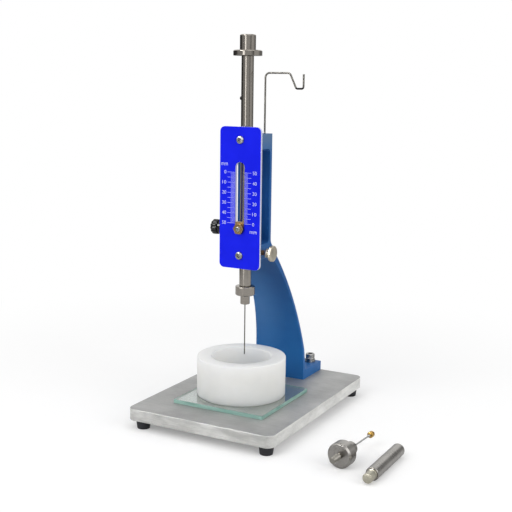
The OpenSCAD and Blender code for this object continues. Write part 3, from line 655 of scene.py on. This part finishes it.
bolt = turn([
    (4.7, 34.2), (4.95, 34.45), (4.95, 34.9), (5.0, 35.0), (5.0, 39.2), (4.95, 39.4), (4.85, 39.8),
    (4.55, 40.15), (4.2, BOLT_TOP),
], RIBS)
squeeze(bolt, lambda p: 34.95 * MM < p.z < 39.3 * MM and column(p, RIBS) % 2 == 0, RIB_SINK)
put_tools_down()
bpy.ops.mesh.primitive_cylinder_add(
    vertices=6, radius=SOCKET_R * MM, depth=2 * SOCKET_H * MM, location=(0, 0, BOLT_TOP * MM),
)
hexagon = bpy.context.object
cut_away(bolt, settle(hexagon))
soften(bolt, 0.12, 2, 50)
for i, (x, turned) in enumerate([(-BOLT_X, 20), (BOLT_X, 45)]):
    place = shift(x, BOLT_Y, 0) @ spin(turned)
    dress(twin(bolt, place), f"stand_bolt_{i + 1}", "bright_zinc", "root", ["stand_bolts"])
bpy.data.objects.remove(bolt)

# ---- scale plate with its marks and screws ----

plate = copy_of_solid("scale_plate")
soften(plate, 0.3, 3, 50)
dress(plate, "scale_plate_body", "blue_plate", "root", ["scale_plate"])

PLATE_FRONT = -13.0
PRINT_T = 0.04
PEN_OFFSET = -0.008


def print_bar(x0, x1, z, width):
    """A mark of the scale between two places across the plate."""
    low = (x0 * MM, (PLATE_FRONT - PRINT_T) * MM, (z - width / 2) * MM)
    return block(low, (x1 * MM, (PLATE_FRONT + PRINT_T) * MM, (z + width / 2) * MM))


def print_text(words, x0, x1, z0, z1):
    """Flat letters that fill a box on the plate's face."""
    put_tools_down()
    bpy.ops.object.text_add()
    letters = bpy.context.object
    letters.data.body = words
    letters.data.extrude = 0.5
    letters.data.offset = PEN_OFFSET
    letters.data.resolution_u = 4
    pick(letters)
    bpy.ops.object.convert(target="MESH")
    letters = bpy.context.object
    corners = [v.co for v in letters.data.vertices]
    low = Vector(min(c[i] for c in corners) for i in range(3))
    high = Vector(max(c[i] for c in corners) for i in range(3))
    fit = Matrix.Diagonal((
        (x1 - x0) * MM / (high.x - low.x), (z1 - z0) * MM / (high.y - low.y), 2 * PRINT_T * MM, 1,
    ))
    place = shift(x0, PLATE_FRONT, z0) @ POINT_FRONT @ fit @ Matrix.Translation((-low.x, -low.y, 0))
    return settle(letters, place)


ZERO_Z = 251.1
SCALE_LENGTH = 50
MARKS_LEFT, MARKS_RIGHT = (-10.2, -5.4), (5.4, 8.7)
LONG_REACH, LONG_WIDTH, SHORT_WIDTH = 3.7, 0.25, 0.18

bars = []
for step in range(SCALE_LENGTH + 1):
    z = ZERO_Z - step
    reach, width = (LONG_REACH, LONG_WIDTH) if step % 5 == 0 else (0, SHORT_WIDTH)
    bars.append(print_bar(MARKS_LEFT[0] - reach, MARKS_LEFT[1], z, width))
    bars.append(print_bar(MARKS_RIGHT[0], MARKS_RIGHT[1] + reach, z, width))
dress(join(*bars), "scale_marks", "blue_plate", "root", material=WHITE_PRINT)

DIGIT_W, DIGIT_H, UNIT_H = 2.2, 3.3, 2.6
NUMBERS_LEFT, NUMBERS_RIGHT = -15.4, 14.1

letters = []
for value in range(0, SCALE_LENGTH + 1, 10):
    z0, z1 = ZERO_Z - value - DIGIT_H / 2, ZERO_Z - value + DIGIT_H / 2
    down, up = str(value), str(SCALE_LENGTH - value)
    letters.append(print_text(down, NUMBERS_LEFT - DIGIT_W * len(down), NUMBERS_LEFT, z0, z1))
    letters.append(print_text(up, NUMBERS_RIGHT, NUMBERS_RIGHT + DIGIT_W * len(up), z0, z1))
for x0, x1, z in [(-20.9, -13.8, 257.4), (11.6, 19.2, 192.0)]:
    letters.append(print_text("mm", x0, x1, z, z + UNIT_H))
dress(join(*letters), "scale_numbers", "blue_plate", "root", material=WHITE_PRINT)


def cross_recess(width, slit, depth):
    """Two crossed blades that taper inwards, point down on -Z, for a cross recess."""
    point_w, point_slit = 0.45, 0.7
    blades = []
    for quarter in range(2):
        put_tools_down()
        bpy.ops.mesh.primitive_cube_add(size=1)
        blade = bpy.context.object
        bpy.ops.object.mode_set(mode="EDIT")
        bpy.ops.transform.resize(value=(width * MM, slit * MM, 2 * depth * MM))
        bpy.ops.mesh.select_all(action="DESELECT")
        bpy.ops.object.mode_set(mode="OBJECT")
        for point in blade.data.vertices:
            point.select = point.co.z < 0
        bpy.ops.object.mode_set(mode="EDIT")
        bpy.ops.transform.resize(value=(point_w, point_slit, 1))
        bpy.ops.object.mode_set(mode="OBJECT")
        settle(blade, spin(90 * quarter))
        blades.append(blade)
    return blades


def pan_head(radius, height, dome):
    """A screw's head on +Z: straight rim, then a dome."""
    steps = 7
    profile = [(radius - 0.15, 0), (radius, 0.15), (radius, height - dome)]
    for i in range(1, steps):
        a = math.pi / 2 * i / steps
        profile.append((radius - dome + dome * math.cos(a), height - dome + dome * math.sin(a)))
    profile.append((radius - dome * 0.98, height))
    return turn(profile, 64)


def cross_screw(radius, height, dome, recess, edge_mm, place):
    """A pan head with a cross recess of a width, slit and depth, laid in its place."""
    head = pan_head(radius, height, dome)
    for blade in cross_recess(*recess):
        blade.data.transform(shift(0, 0, height))
        cut_away(head, blade)
    soften(head, edge_mm, 2, 40)
    return settle(head, place)


for i, (z, turned) in enumerate([(169.1, 12), (282.7, 38)]):
    place = shift(0, PLATE_FRONT, z) @ POINT_FRONT @ spin(turned)
    head = cross_screw(4.1, 2.2, 1.7, (5.0, 1.25, 1.6), 0.08, place)
    dress(head, f"plate_screw_{i + 1}", "bright_zinc", "root", ["scale_plate_screws"])

# ---- wire hook ----


def bent_wire(corners, radii, diameter, place_y):
    """A round wire through corner points in the plane of X and Z, with a radius at each inner corner."""
    arc_steps = 12
    points = [Vector((x, 0, z)) for x, z in corners]
    line = [points[0]]
    for before, corner, after, radius in zip(points, points[1:], points[2:], radii):
        ahead, back = (after - corner).normalized(), (before - corner).normalized()
        half = math.acos(max(-1, min(1, ahead.dot(back)))) / 2
        reach = radius / math.tan(half)
        centre = corner + (ahead + back).normalized() * radius / math.sin(half)
        start, end = corner + back * reach, corner + ahead * reach
        spread = (start - centre).angle(end - centre)
        for k in range(arc_steps + 1):
            share = k / arc_steps
            from_start = (start - centre) * math.sin((1 - share) * spread)
            from_end = (end - centre) * math.sin(share * spread)
            line.append(centre + (from_start + from_end) / math.sin(spread))
    line.append(points[-1])
    curve = bpy.data.curves.new("wire", "CURVE")
    curve.dimensions = "3D"
    curve.bevel_depth = diameter / 2 * MM
    curve.bevel_resolution = 6
    curve.use_fill_caps = True
    spline = curve.splines.new("POLY")
    spline.points.add(len(line) - 1)
    for spot, point in zip(spline.points, line):
        spot.co = (point.x * MM, place_y * MM, point.z * MM, 1)
    wire = bpy.data.objects.new("wire", curve)
    bpy.context.scene.collection.objects.link(wire)
    pick(wire)
    bpy.ops.object.convert(target="MESH")
    return settle(bpy.context.object)


HOOK = [(14.3, 280.2), (14.3, 346.7), (40.7, 346.7), (47.7, 332.1), (55.3, 332.1), (55.3, 345.8)]
HOOK_BENDS = [4.5, 3.5, 2, 2]
HOOK_Y = 10
WIRE_D = 1.8

wire = bent_wire(HOOK, HOOK_BENDS, WIRE_D, HOOK_Y)
mend_normals(wire)
soften(wire, 0.25, 3, 60)
dress(wire, "hook_wire", "wire_steel", "hook", ["wire_hook"], HOOK_WIRE)

# ---- pointer ----

POINTER_Z = 196.0
POINTER_W, POINTER_T, POINTER_FRONT = 10, 3, -16.4
SHANK_R, SHANK_TOP = 4.7, 6.6
SHANK_FRONT, SHANK_BACK = -13.5, -8.3

put_tools_down()
bpy.ops.mesh.primitive_cylinder_add(
    vertices=6, radius=POINTER_W / 2 / math.cos(math.pi / 6) * MM, depth=POINTER_T * MM,
)
place = shift(0, POINTER_FRONT + POINTER_T / 2, POINTER_Z) @ POINT_FRONT @ spin(30)
hexagon = settle(bpy.context.object, place)
soften(hexagon, 0.35, 3, 40)
shank = block(
    (-SHANK_R * MM, SHANK_FRONT * MM, (POINTER_Z - SHANK_R) * MM),
    (SHANK_R * MM, SHANK_BACK * MM, (POINTER_Z + SHANK_TOP) * MM),
)
pick_edges(shank, lambda a, b: abs(a.y - b.y) > 1 * MM and a.z < POINTER_Z * MM)
bpy.ops.mesh.bevel(offset=(SHANK_R - 0.01) * MM, segments=12, affect="EDGES")
bpy.ops.object.mode_set(mode="OBJECT")
soften(shank, 0.2, 2, 50)
pointer = join(hexagon, shank)
dress(pointer, "pointer_hexagon", "brass", "carriage", ["pointer"])

place = shift(0, POINTER_FRONT, POINTER_Z) @ POINT_FRONT @ spin(25)
head = cross_screw(2.5, 1.2, 0.9, (2.4, 0.5, 0.8), 0.05, place)
dress(head, "pointer_screw_head", "bright_zinc", "carriage", ["pointer_screw"])

# ---- rod, weight, holder and needle ----

ROD_R, ROD_FOOT, ROD_TOP = 6, 136.7, 362.7
rod = turn([
    (ROD_R - 0.4, ROD_FOOT), (ROD_R, ROD_FOOT + 0.3), (ROD_R, ROD_TOP - 0.3), (ROD_R - 0.3, ROD_TOP),
], 128)
soften(rod, 0.1, 2)
dress(rod, "rod", "turned_steel", "probe", ["sliding_rod"])

STOP_PIN_Z = 322.25
pin = turn([(1.5, 4), (1.75, 4.2), (1.75, 7.2), (1.55, 7.5), (1.1, 7.6)], 48)
settle(pin, shift(0, 0, STOP_PIN_Z) @ POINT_LEFT)
dress(soften(pin, 0.1, 2), "rod_stop_pin", "dark_steel", "probe", ["stop_pin"])

WEIGHT_R, WEIGHT_NECK_R = 14, 7.75
WEIGHT_STEP, WEIGHT_TOP = 368.1, 382.8
weight = turn([
    (ROD_R + 0.2, ROD_TOP), (WEIGHT_R - 0.3, ROD_TOP), (WEIGHT_R, ROD_TOP + 0.3),
    (WEIGHT_R, WEIGHT_STEP - CHAMFER), (WEIGHT_R - CHAMFER, WEIGHT_STEP), (WEIGHT_NECK_R, WEIGHT_STEP),
    (WEIGHT_NECK_R, WEIGHT_TOP - CHAMFER), (WEIGHT_NECK_R - CHAMFER, WEIGHT_TOP),
], 128)
dress(soften(weight, 0.22, 3, 30), "weight", "turned_steel", "probe", ["top_weight"])

HOLDER_R, HOLDER_NECK_R = 9.85, 4.75
HOLDER_FOOT, HOLDER_STEP = 118.0, 127.3
holder = turn([
    (0.75, HOLDER_FOOT), (HOLDER_NECK_R - 0.4, HOLDER_FOOT), (HOLDER_NECK_R, HOLDER_FOOT + 0.4),
    (HOLDER_NECK_R, HOLDER_STEP), (HOLDER_R - CHAMFER, HOLDER_STEP), (HOLDER_R, HOLDER_STEP + CHAMFER),
    (HOLDER_R, ROD_FOOT - CHAMFER), (HOLDER_R - CHAMFER, ROD_FOOT), (ROD_R + 0.05, ROD_FOOT),
], 128)
dress(soften(holder, 0.2, 3, 30), "holder", "turned_steel", "probe", ["needle_holder"])

NEEDLE_R, NEEDLE_TIP = 0.565, 65.5
needle = turn([
    (NEEDLE_R - 0.115, NEEDLE_TIP), (NEEDLE_R, NEEDLE_TIP + 0.1), (NEEDLE_R, HOLDER_FOOT + 1),
], 32)
dress(soften(needle, 0.04, 2), "fine_needle", "wire_steel", "probe", ["needle"])

# ---- clamp knob ----

CLAMP_Z = 193.8
KNOB_TURN = 8
FLUTES, STEPS = 12, 8
SIDES = FLUTES * STEPS
# How far each column of a flute sinks in, as a share of the radius
FLUTE = {-2: 0.035, -1: 0.085, 0: 0.105, 1: 0.085, 2: 0.035}
GRIP_START, GRIP_CORE_R = 30.5, 6.0
STUD_R, STUD_TIP = 2.4, 7.6


def stud(thread_end, tail):
    """A threaded stud from its tip to where the thread runs out, and then its plain tail."""
    point = [(STUD_R - 0.5, STUD_TIP), (STUD_R, STUD_TIP + 0.4)]
    return turn(point + thread(STUD_TIP + 0.6, thread_end, 5.0) + tail, 64)


knob = turn([
    (STUD_R, 26.0), (6.3, 26.0), (6.7, 26.4), (6.7, 29.3), (6.5, 29.5), (5.5, 29.5), (5.5, 30.4),
    (6.9, 30.4), (7.4, 30.9), (7.6, 31.6), (7.6, 35.4), (7.35, 36.4), (6.6, 37.2), (5.4, 37.6),
    (3.0, 37.7),
], SIDES)
for step, sink in FLUTE.items():
    squeeze(knob, lambda p: p.z > GRIP_START * MM and math.hypot(p.x, p.y) > GRIP_CORE_R * MM
            and column(p, SIDES) % STEPS == step % STEPS, 1 - sink)
settle(knob, shift(0, 0, CLAMP_Z) @ POINT_LEFT @ spin(KNOB_TURN))
dress(soften(knob, 0.25, 3, 38), "clamp_knob_grip", "black_plastic", "clamp_screw", ["clamp_knob"])

clamp_stud = settle(stud(25.6, [(STUD_R, 26.0), (STUD_R, 33)]), shift(0, 0, CLAMP_Z) @ POINT_LEFT)
dress(soften(clamp_stud, 0.05, 1, 60), "clamp_stud_thread", "bright_zinc", "clamp_screw", ["clamp_stud"])

# ---- lock screw ----

LOCK_Z = 172.0
LOCK_R, RIM_LOW, RIM_HIGH = 8.0, 28.9, 31.1
KNURLS = 96
KNURL_SINK = 0.965

lock = turn([
    (STUD_R, 23.3), (4.3, 23.3), (4.5, 23.5), (4.5, 25.8), (4.3, 26.0), (3.5, 26.0), (3.5, 28.4),
    (7.3, 28.4), (7.8, 28.7), (LOCK_R, RIM_LOW), (LOCK_R, RIM_HIGH), (7.8, 31.3), (7.3, 31.6), (5.2, 31.6),
], KNURLS)
squeeze(lock, lambda p: (RIM_LOW - 0.1) * MM < p.z < (RIM_HIGH + 0.1) * MM
        and math.hypot(p.x, p.y) > (LOCK_R - 0.1) * MM and column(p, KNURLS) % 2 == 0, KNURL_SINK)
settle(lock, shift(0, 0, LOCK_Z) @ POINT_RIGHT)
dress(soften(lock, 0.08, 2, 60), "lock_screw_body", "nickel", "lock_screw", ["lock_screw"])

lock_thread = settle(stud(23.1, [(STUD_R, 23.4)]), shift(0, 0, LOCK_Z) @ POINT_RIGHT)
dress(soften(lock_thread, 0.05, 1, 60), "lock_screw_thread", "nickel", "lock_screw", material=DARK_THREAD)

# ---- glass plate and mould ----

low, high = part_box("glass_plate")
dress(soften(block(low, high), 0.35, 3), "glass_sheet", "plate_glass", "glass", ["glass_plate"])

MOULD_R, MOULD_FOOT, MOULD_TOP = 45, 25, 65
BORE_TOP_R = 30
mould = turn([
    (BORE_FOOT_R, MOULD_FOOT), (MOULD_R - CHAMFER, MOULD_FOOT), (MOULD_R, MOULD_FOOT + CHAMFER),
    (MOULD_R, MOULD_TOP - CHAMFER), (MOULD_R - CHAMFER, MOULD_TOP), (BORE_TOP_R + CHAMFER, MOULD_TOP),
    (BORE_TOP_R, MOULD_TOP - CHAMFER), (BORE_FOOT_R, MOULD_FOOT),
], 160, hollow=True)
settle(mould, shift(MOULD_X, MOULD_Y, 0))
dress(soften(mould, 0.5, 4, 25), "mould_ring", "mould_plastic", "mould", ["mould"])

# ---- loose needle with its ring ----

FLANGE_R, FLANGE_L, FRONT_CHAMFER = 11.9, 12, (1.6, 1.5)
STEP_R, STEP_END = 6.3, 25.5
FERRULE_END = 63.0
lying = shift(140.7, -80, FLANGE_R) @ spin(-4) @ POINT_BACK

loose_holder = turn([
    (3.0, 0), (FLANGE_R - FRONT_CHAMFER[0], 0), (FLANGE_R, FRONT_CHAMFER[1]),
    (FLANGE_R, FLANGE_L - CHAMFER), (FLANGE_R - CHAMFER, FLANGE_L), (STEP_R, FLANGE_L),
    (STEP_R, STEP_END - CHAMFER), (STEP_R - CHAMFER, STEP_END), (0.9, STEP_END),
], 96)
dress(soften(settle(loose_holder, lying), 0.15, 2, 30), "loose_holder", "turned_steel", "loose_needle",
      ["final_needle_holder"], LYING_STEEL)

stub_thread = thread(-11.8, -1.2, 6.2, 1.7, 0.55)
loose_stub = turn([(2.4, -12.5), (3.0, -12.0)] + stub_thread + [(2.6, -1.0), (2.6, 0.2)], 64)
# The thread takes the darker copy of the steel: painted shade.
dress(soften(settle(loose_stub, lying), 0.08, 2, 30), "loose_holder_thread", "turned_steel", "loose_needle",
      material=SHADED_THREAD_STEEL)

loose_shaft = turn([
    (0.7, 18), (0.75, 18.1), (0.75, 60.0), (1.0, 60.0), (1.5, 60.5), (1.5, FERRULE_END),
], 40)
dress(soften(settle(loose_shaft, lying), 0.06, 2, 30), "loose_needle_shaft", "wire_steel", "loose_needle",
      ["final_needle"], FINISHES["bright_zinc"])

loose_ring = turn([
    (2.4, FERRULE_END), (2.85, 63.3), (3.0, 63.9), (3.0, 67.4), (2.8, 68.1), (2.3, 68.5), (1.7, 68.5),
    (1.6, 67.6),
], 64)
dress(soften(settle(loose_ring, lying), 0.15, 3, 25), "loose_ring", "brass", "loose_needle",
      ["ring_attachment"], BRIGHT_BRASS)

# ---- loose plunger ----

PLUNGER_R, PLUNGER_L, PLUNGER_EDGE = 6.2, 65.7, 0.6
SPIGOT_R, GROOVE_R = 4.6, 4.1
lying = shift(176.4, -89.7, PLUNGER_R) @ POINT_BACK

body = turn([
    (4.7, 0), (PLUNGER_R - PLUNGER_EDGE, 0), (PLUNGER_R, PLUNGER_EDGE),
    (PLUNGER_R, PLUNGER_L - PLUNGER_EDGE), (PLUNGER_R - PLUNGER_EDGE, PLUNGER_L), (4.4, PLUNGER_L),
], 96)
dress(soften(settle(body, lying), 0.15, 2, 30), "plunger_body", "turned_steel", "loose_plunger",
      ["plunger"], LYING_STEEL)
spigot = turn([
    (4.0, -11.5), (4.4, -11.3), (SPIGOT_R, -10.8), (SPIGOT_R, -2.4), (GROOVE_R, -2.0), (GROOVE_R, -0.9),
    (SPIGOT_R, -0.6), (SPIGOT_R, 0.4),
], 96)
# The spigot takes the paler copy of the steel: painted light.
dress(soften(settle(spigot, lying), 0.12, 2, 30), "plunger_spigot", "turned_steel", "loose_plunger",
      material=LIT_SPIGOT_STEEL)

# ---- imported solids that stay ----

for node, slot in {
    "foot_screws": "bright_zinc", "spring_washers": "bright_zinc", "flat_washers": "bright_zinc",
    "upper_bush": "bronze_bush", "lower_bush": "bronze_bush", "pointer_collar": "turned_steel",
    "clamp_pad": "brass", "lock_pad": "brass",
}.items():
    for material_slot in nodes[node].material_slots:
        material_slot.material = FINISHES[slot]

# ---- floor, light and camera ----

FLOOR_R = 0.75
FLOOR_LIFT = 0.23
WHITE_START, WHITE_END = 0.22, 0.62


def floor_paper():
    """A pale floor that keeps shadows, lifted for the camera alone, and plain white further out."""
    f = Finish("floor_paper", {"Roughness": 0.9, "Specular IOR Level": 0.0})
    f.set({"Base Color": (0.80, 0.80, 0.80, 1)})
    outer = f.fade(f.distance((0, 0, 0)), WHITE_START, WHITE_END, course="SMOOTHSTEP")
    seen = f.node("LightPath", out="Is Camera Ray") + f.node("LightPath", out="Is Transmission Ray")
    lift = f.node("Emission", {}, {"Strength": FLOOR_LIFT * seen})
    near = f.node("AddShader", {}, {0: Sock(f, f.shader.outputs[0]), 1: lift})
    white = f.node("Emission", {}, {"Strength": 1.0})
    blend = f.node("MixShader", {}, {0: outer * seen, 1: near, 2: white})
    f.feed(f.output.inputs["Surface"], blend)
    return f.material


put_tools_down()
bpy.ops.mesh.primitive_circle_add(vertices=96, radius=FLOOR_R, fill_type="NGON", location=(0, 0, 0))
floor = bpy.context.object
floor.name = "floor"
floor.data.materials.append(floor_paper())
floor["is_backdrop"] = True


class Studio(Finish):
    """The world: white to the camera, soft light on the object, and for metal a tent with dark gaps."""

    def __init__(self):
        self.world = bpy.data.worlds.new("studio")
        bpy.context.scene.world = self.world
        self.world.use_nodes = True
        self.tree = self.world.node_tree
        self.background = self.tree.nodes["Background"]


SOFT_LIGHT = 0.70
# The way from the rod to the camera, in degrees from +X
EYE_HEADING = -61.2
# Brightness of the tent's wall up to eye level and high up, by degrees to the right of the camera
LOW_TENT = [
    (-180, 0.04), (-100, 0.04), (-84, 0.38), (-46, 0.45), (-19, 0.62), (34, 0.52),
    (38, 0.18), (49, 0.18), (55, 0.72), (92, 0.66), (110, 0.30), (180, 0.25),
]
HIGH_TENT = [
    (-180, 1.0), (-60, 1.0), (60, 0.9), (114, 1.1), (121, 0.25), (134, 0.25), (140, 1.4), (160, 1.2),
    (180, 1.0),
]
BRIGHTEST = 3
LOW_END, HIGH_START = 0.08, 0.18
# Lamps on the wall: brightness, height as a sine, and heading from 0 to 1 with the camera at 0.5
LEFT_LAMP = (20, (0.38, 0.66), (0.300, 0.380))
RIGHT_LAMP = (1.5, (0.20, 0.75), (0.50, 0.66))
PALE_STRIP, STRIP_HEADINGS = 2.6, (0.389, 0.428)
# What the rod mirrors behind the slot is one even grey
SLOT_GREY, SLOT_HEIGHTS, SLOT_HEADINGS = 0.36, (-0.16, -0.07), (0, 0.65)

studio = Studio()
direction = studio.node("TexCoord", out="Generated")
swing = studio.node("VectorRotate", {"rotation_type": "Z_AXIS"}, {
    "Vector": direction, "Angle": math.radians(-EYE_HEADING),
})
ahead_of, beside, above = (studio.node("SeparateXYZ", {}, {0: swing}, out=axis) for axis in "XYZ")
heading = studio.node("Math", {"operation": "ARCTAN2"}, {0: beside, 1: ahead_of}) * (0.5 / math.pi) + 0.5


def tent(levels):
    """The wall's brightness by heading. A ramp's colours stop at 1, so they are shares of the brightest."""
    walls = studio.ramp(heading, [((a + 180) / 360, (level / BRIGHTEST,) * 3) for a, level in levels])
    return studio.node("RGBToBW", {}, {0: walls}) * BRIGHTEST


def between(value, low, high):
    return (value > low) * (value < high)


def wall_lamp(brightness, heights, headings):
    return brightness * between(above, *heights) * between(heading, *headings)


low_tent, high_tent = tent(LOW_TENT), tent(HIGH_TENT)
low_tent = low_tent + PALE_STRIP * between(heading, *STRIP_HEADINGS)
slot_band = between(above, *SLOT_HEIGHTS) * between(heading, *SLOT_HEADINGS)
low_tent = low_tent + slot_band * (SLOT_GREY - low_tent)
rise = studio.fade(above, LOW_END, HIGH_START)
for_metal = low_tent + rise * (high_tent - low_tent) + wall_lamp(*LEFT_LAMP) + wall_lamp(*RIGHT_LAMP)
metal = studio.node("LightPath", out="Is Glossy Ray")
direct = studio.node("LightPath", out="Is Camera Ray") + studio.node("LightPath", out="Is Transmission Ray")
level = SOFT_LIGHT + metal * (for_metal - SOFT_LIGHT) + direct * (1 - SOFT_LIGHT)
studio.feed(studio.background.inputs["Color"], (1, 1, 1, 1))
studio.feed(studio.background.inputs["Strength"], level)


LIT_SPOT = Vector((0, 0, 0.15))


def softbox(name, place, size, power):
    """A lamp that lights the object and isn't itself mirrored, because the tent is."""
    light = bpy.data.lights.new(name, "AREA")
    light.shape = "RECTANGLE"
    light.size, light.size_y = size
    light.energy = power
    lamp = bpy.data.objects.new(name, light)
    bpy.context.scene.collection.objects.link(lamp)
    lamp.location = place
    lamp.rotation_euler = (LIT_SPOT - Vector(place)).to_track_quat("-Z", "Y").to_euler()
    lamp.visible_glossy = False


softbox("key", (-0.5, -1.6, 1.5), (1.2, 1.2), 14)
softbox("fill", (1.6, -0.2, 1.0), (0.9, 1.2), 8)

EYE = Vector((0.46066, -0.83820, 0.33909))
YAW, PITCH, ROLL = math.radians(28.166), math.radians(10.204), math.radians(0.771)
SENSOR_MM, LENS_MM = 36, 68.46

camera = bpy.data.cameras.new("camera")
camera.sensor_width = SENSOR_MM
camera.lens = LENS_MM
camera.clip_start = 0.05
eye = bpy.data.objects.new("camera", camera)
bpy.context.scene.collection.objects.link(eye)
ahead = Vector((-math.sin(YAW) * math.cos(PITCH), math.cos(YAW) * math.cos(PITCH), -math.sin(PITCH)))
level_right = Vector((math.cos(YAW), math.sin(YAW), 0))
level_up = level_right.cross(ahead)
right = math.cos(ROLL) * level_right + math.sin(ROLL) * level_up
up = math.cos(ROLL) * level_up - math.sin(ROLL) * level_right
eye.matrix_world = Matrix((
    (right.x, up.x, -ahead.x, EYE.x),
    (right.y, up.y, -ahead.y, EYE.y),
    (right.z, up.z, -ahead.z, EYE.z),
    (0, 0, 0, 1),
))
bpy.context.scene.camera = eye
bpy.context.scene.view_settings.view_transform = "Standard"

put_tools_down()
low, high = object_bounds()
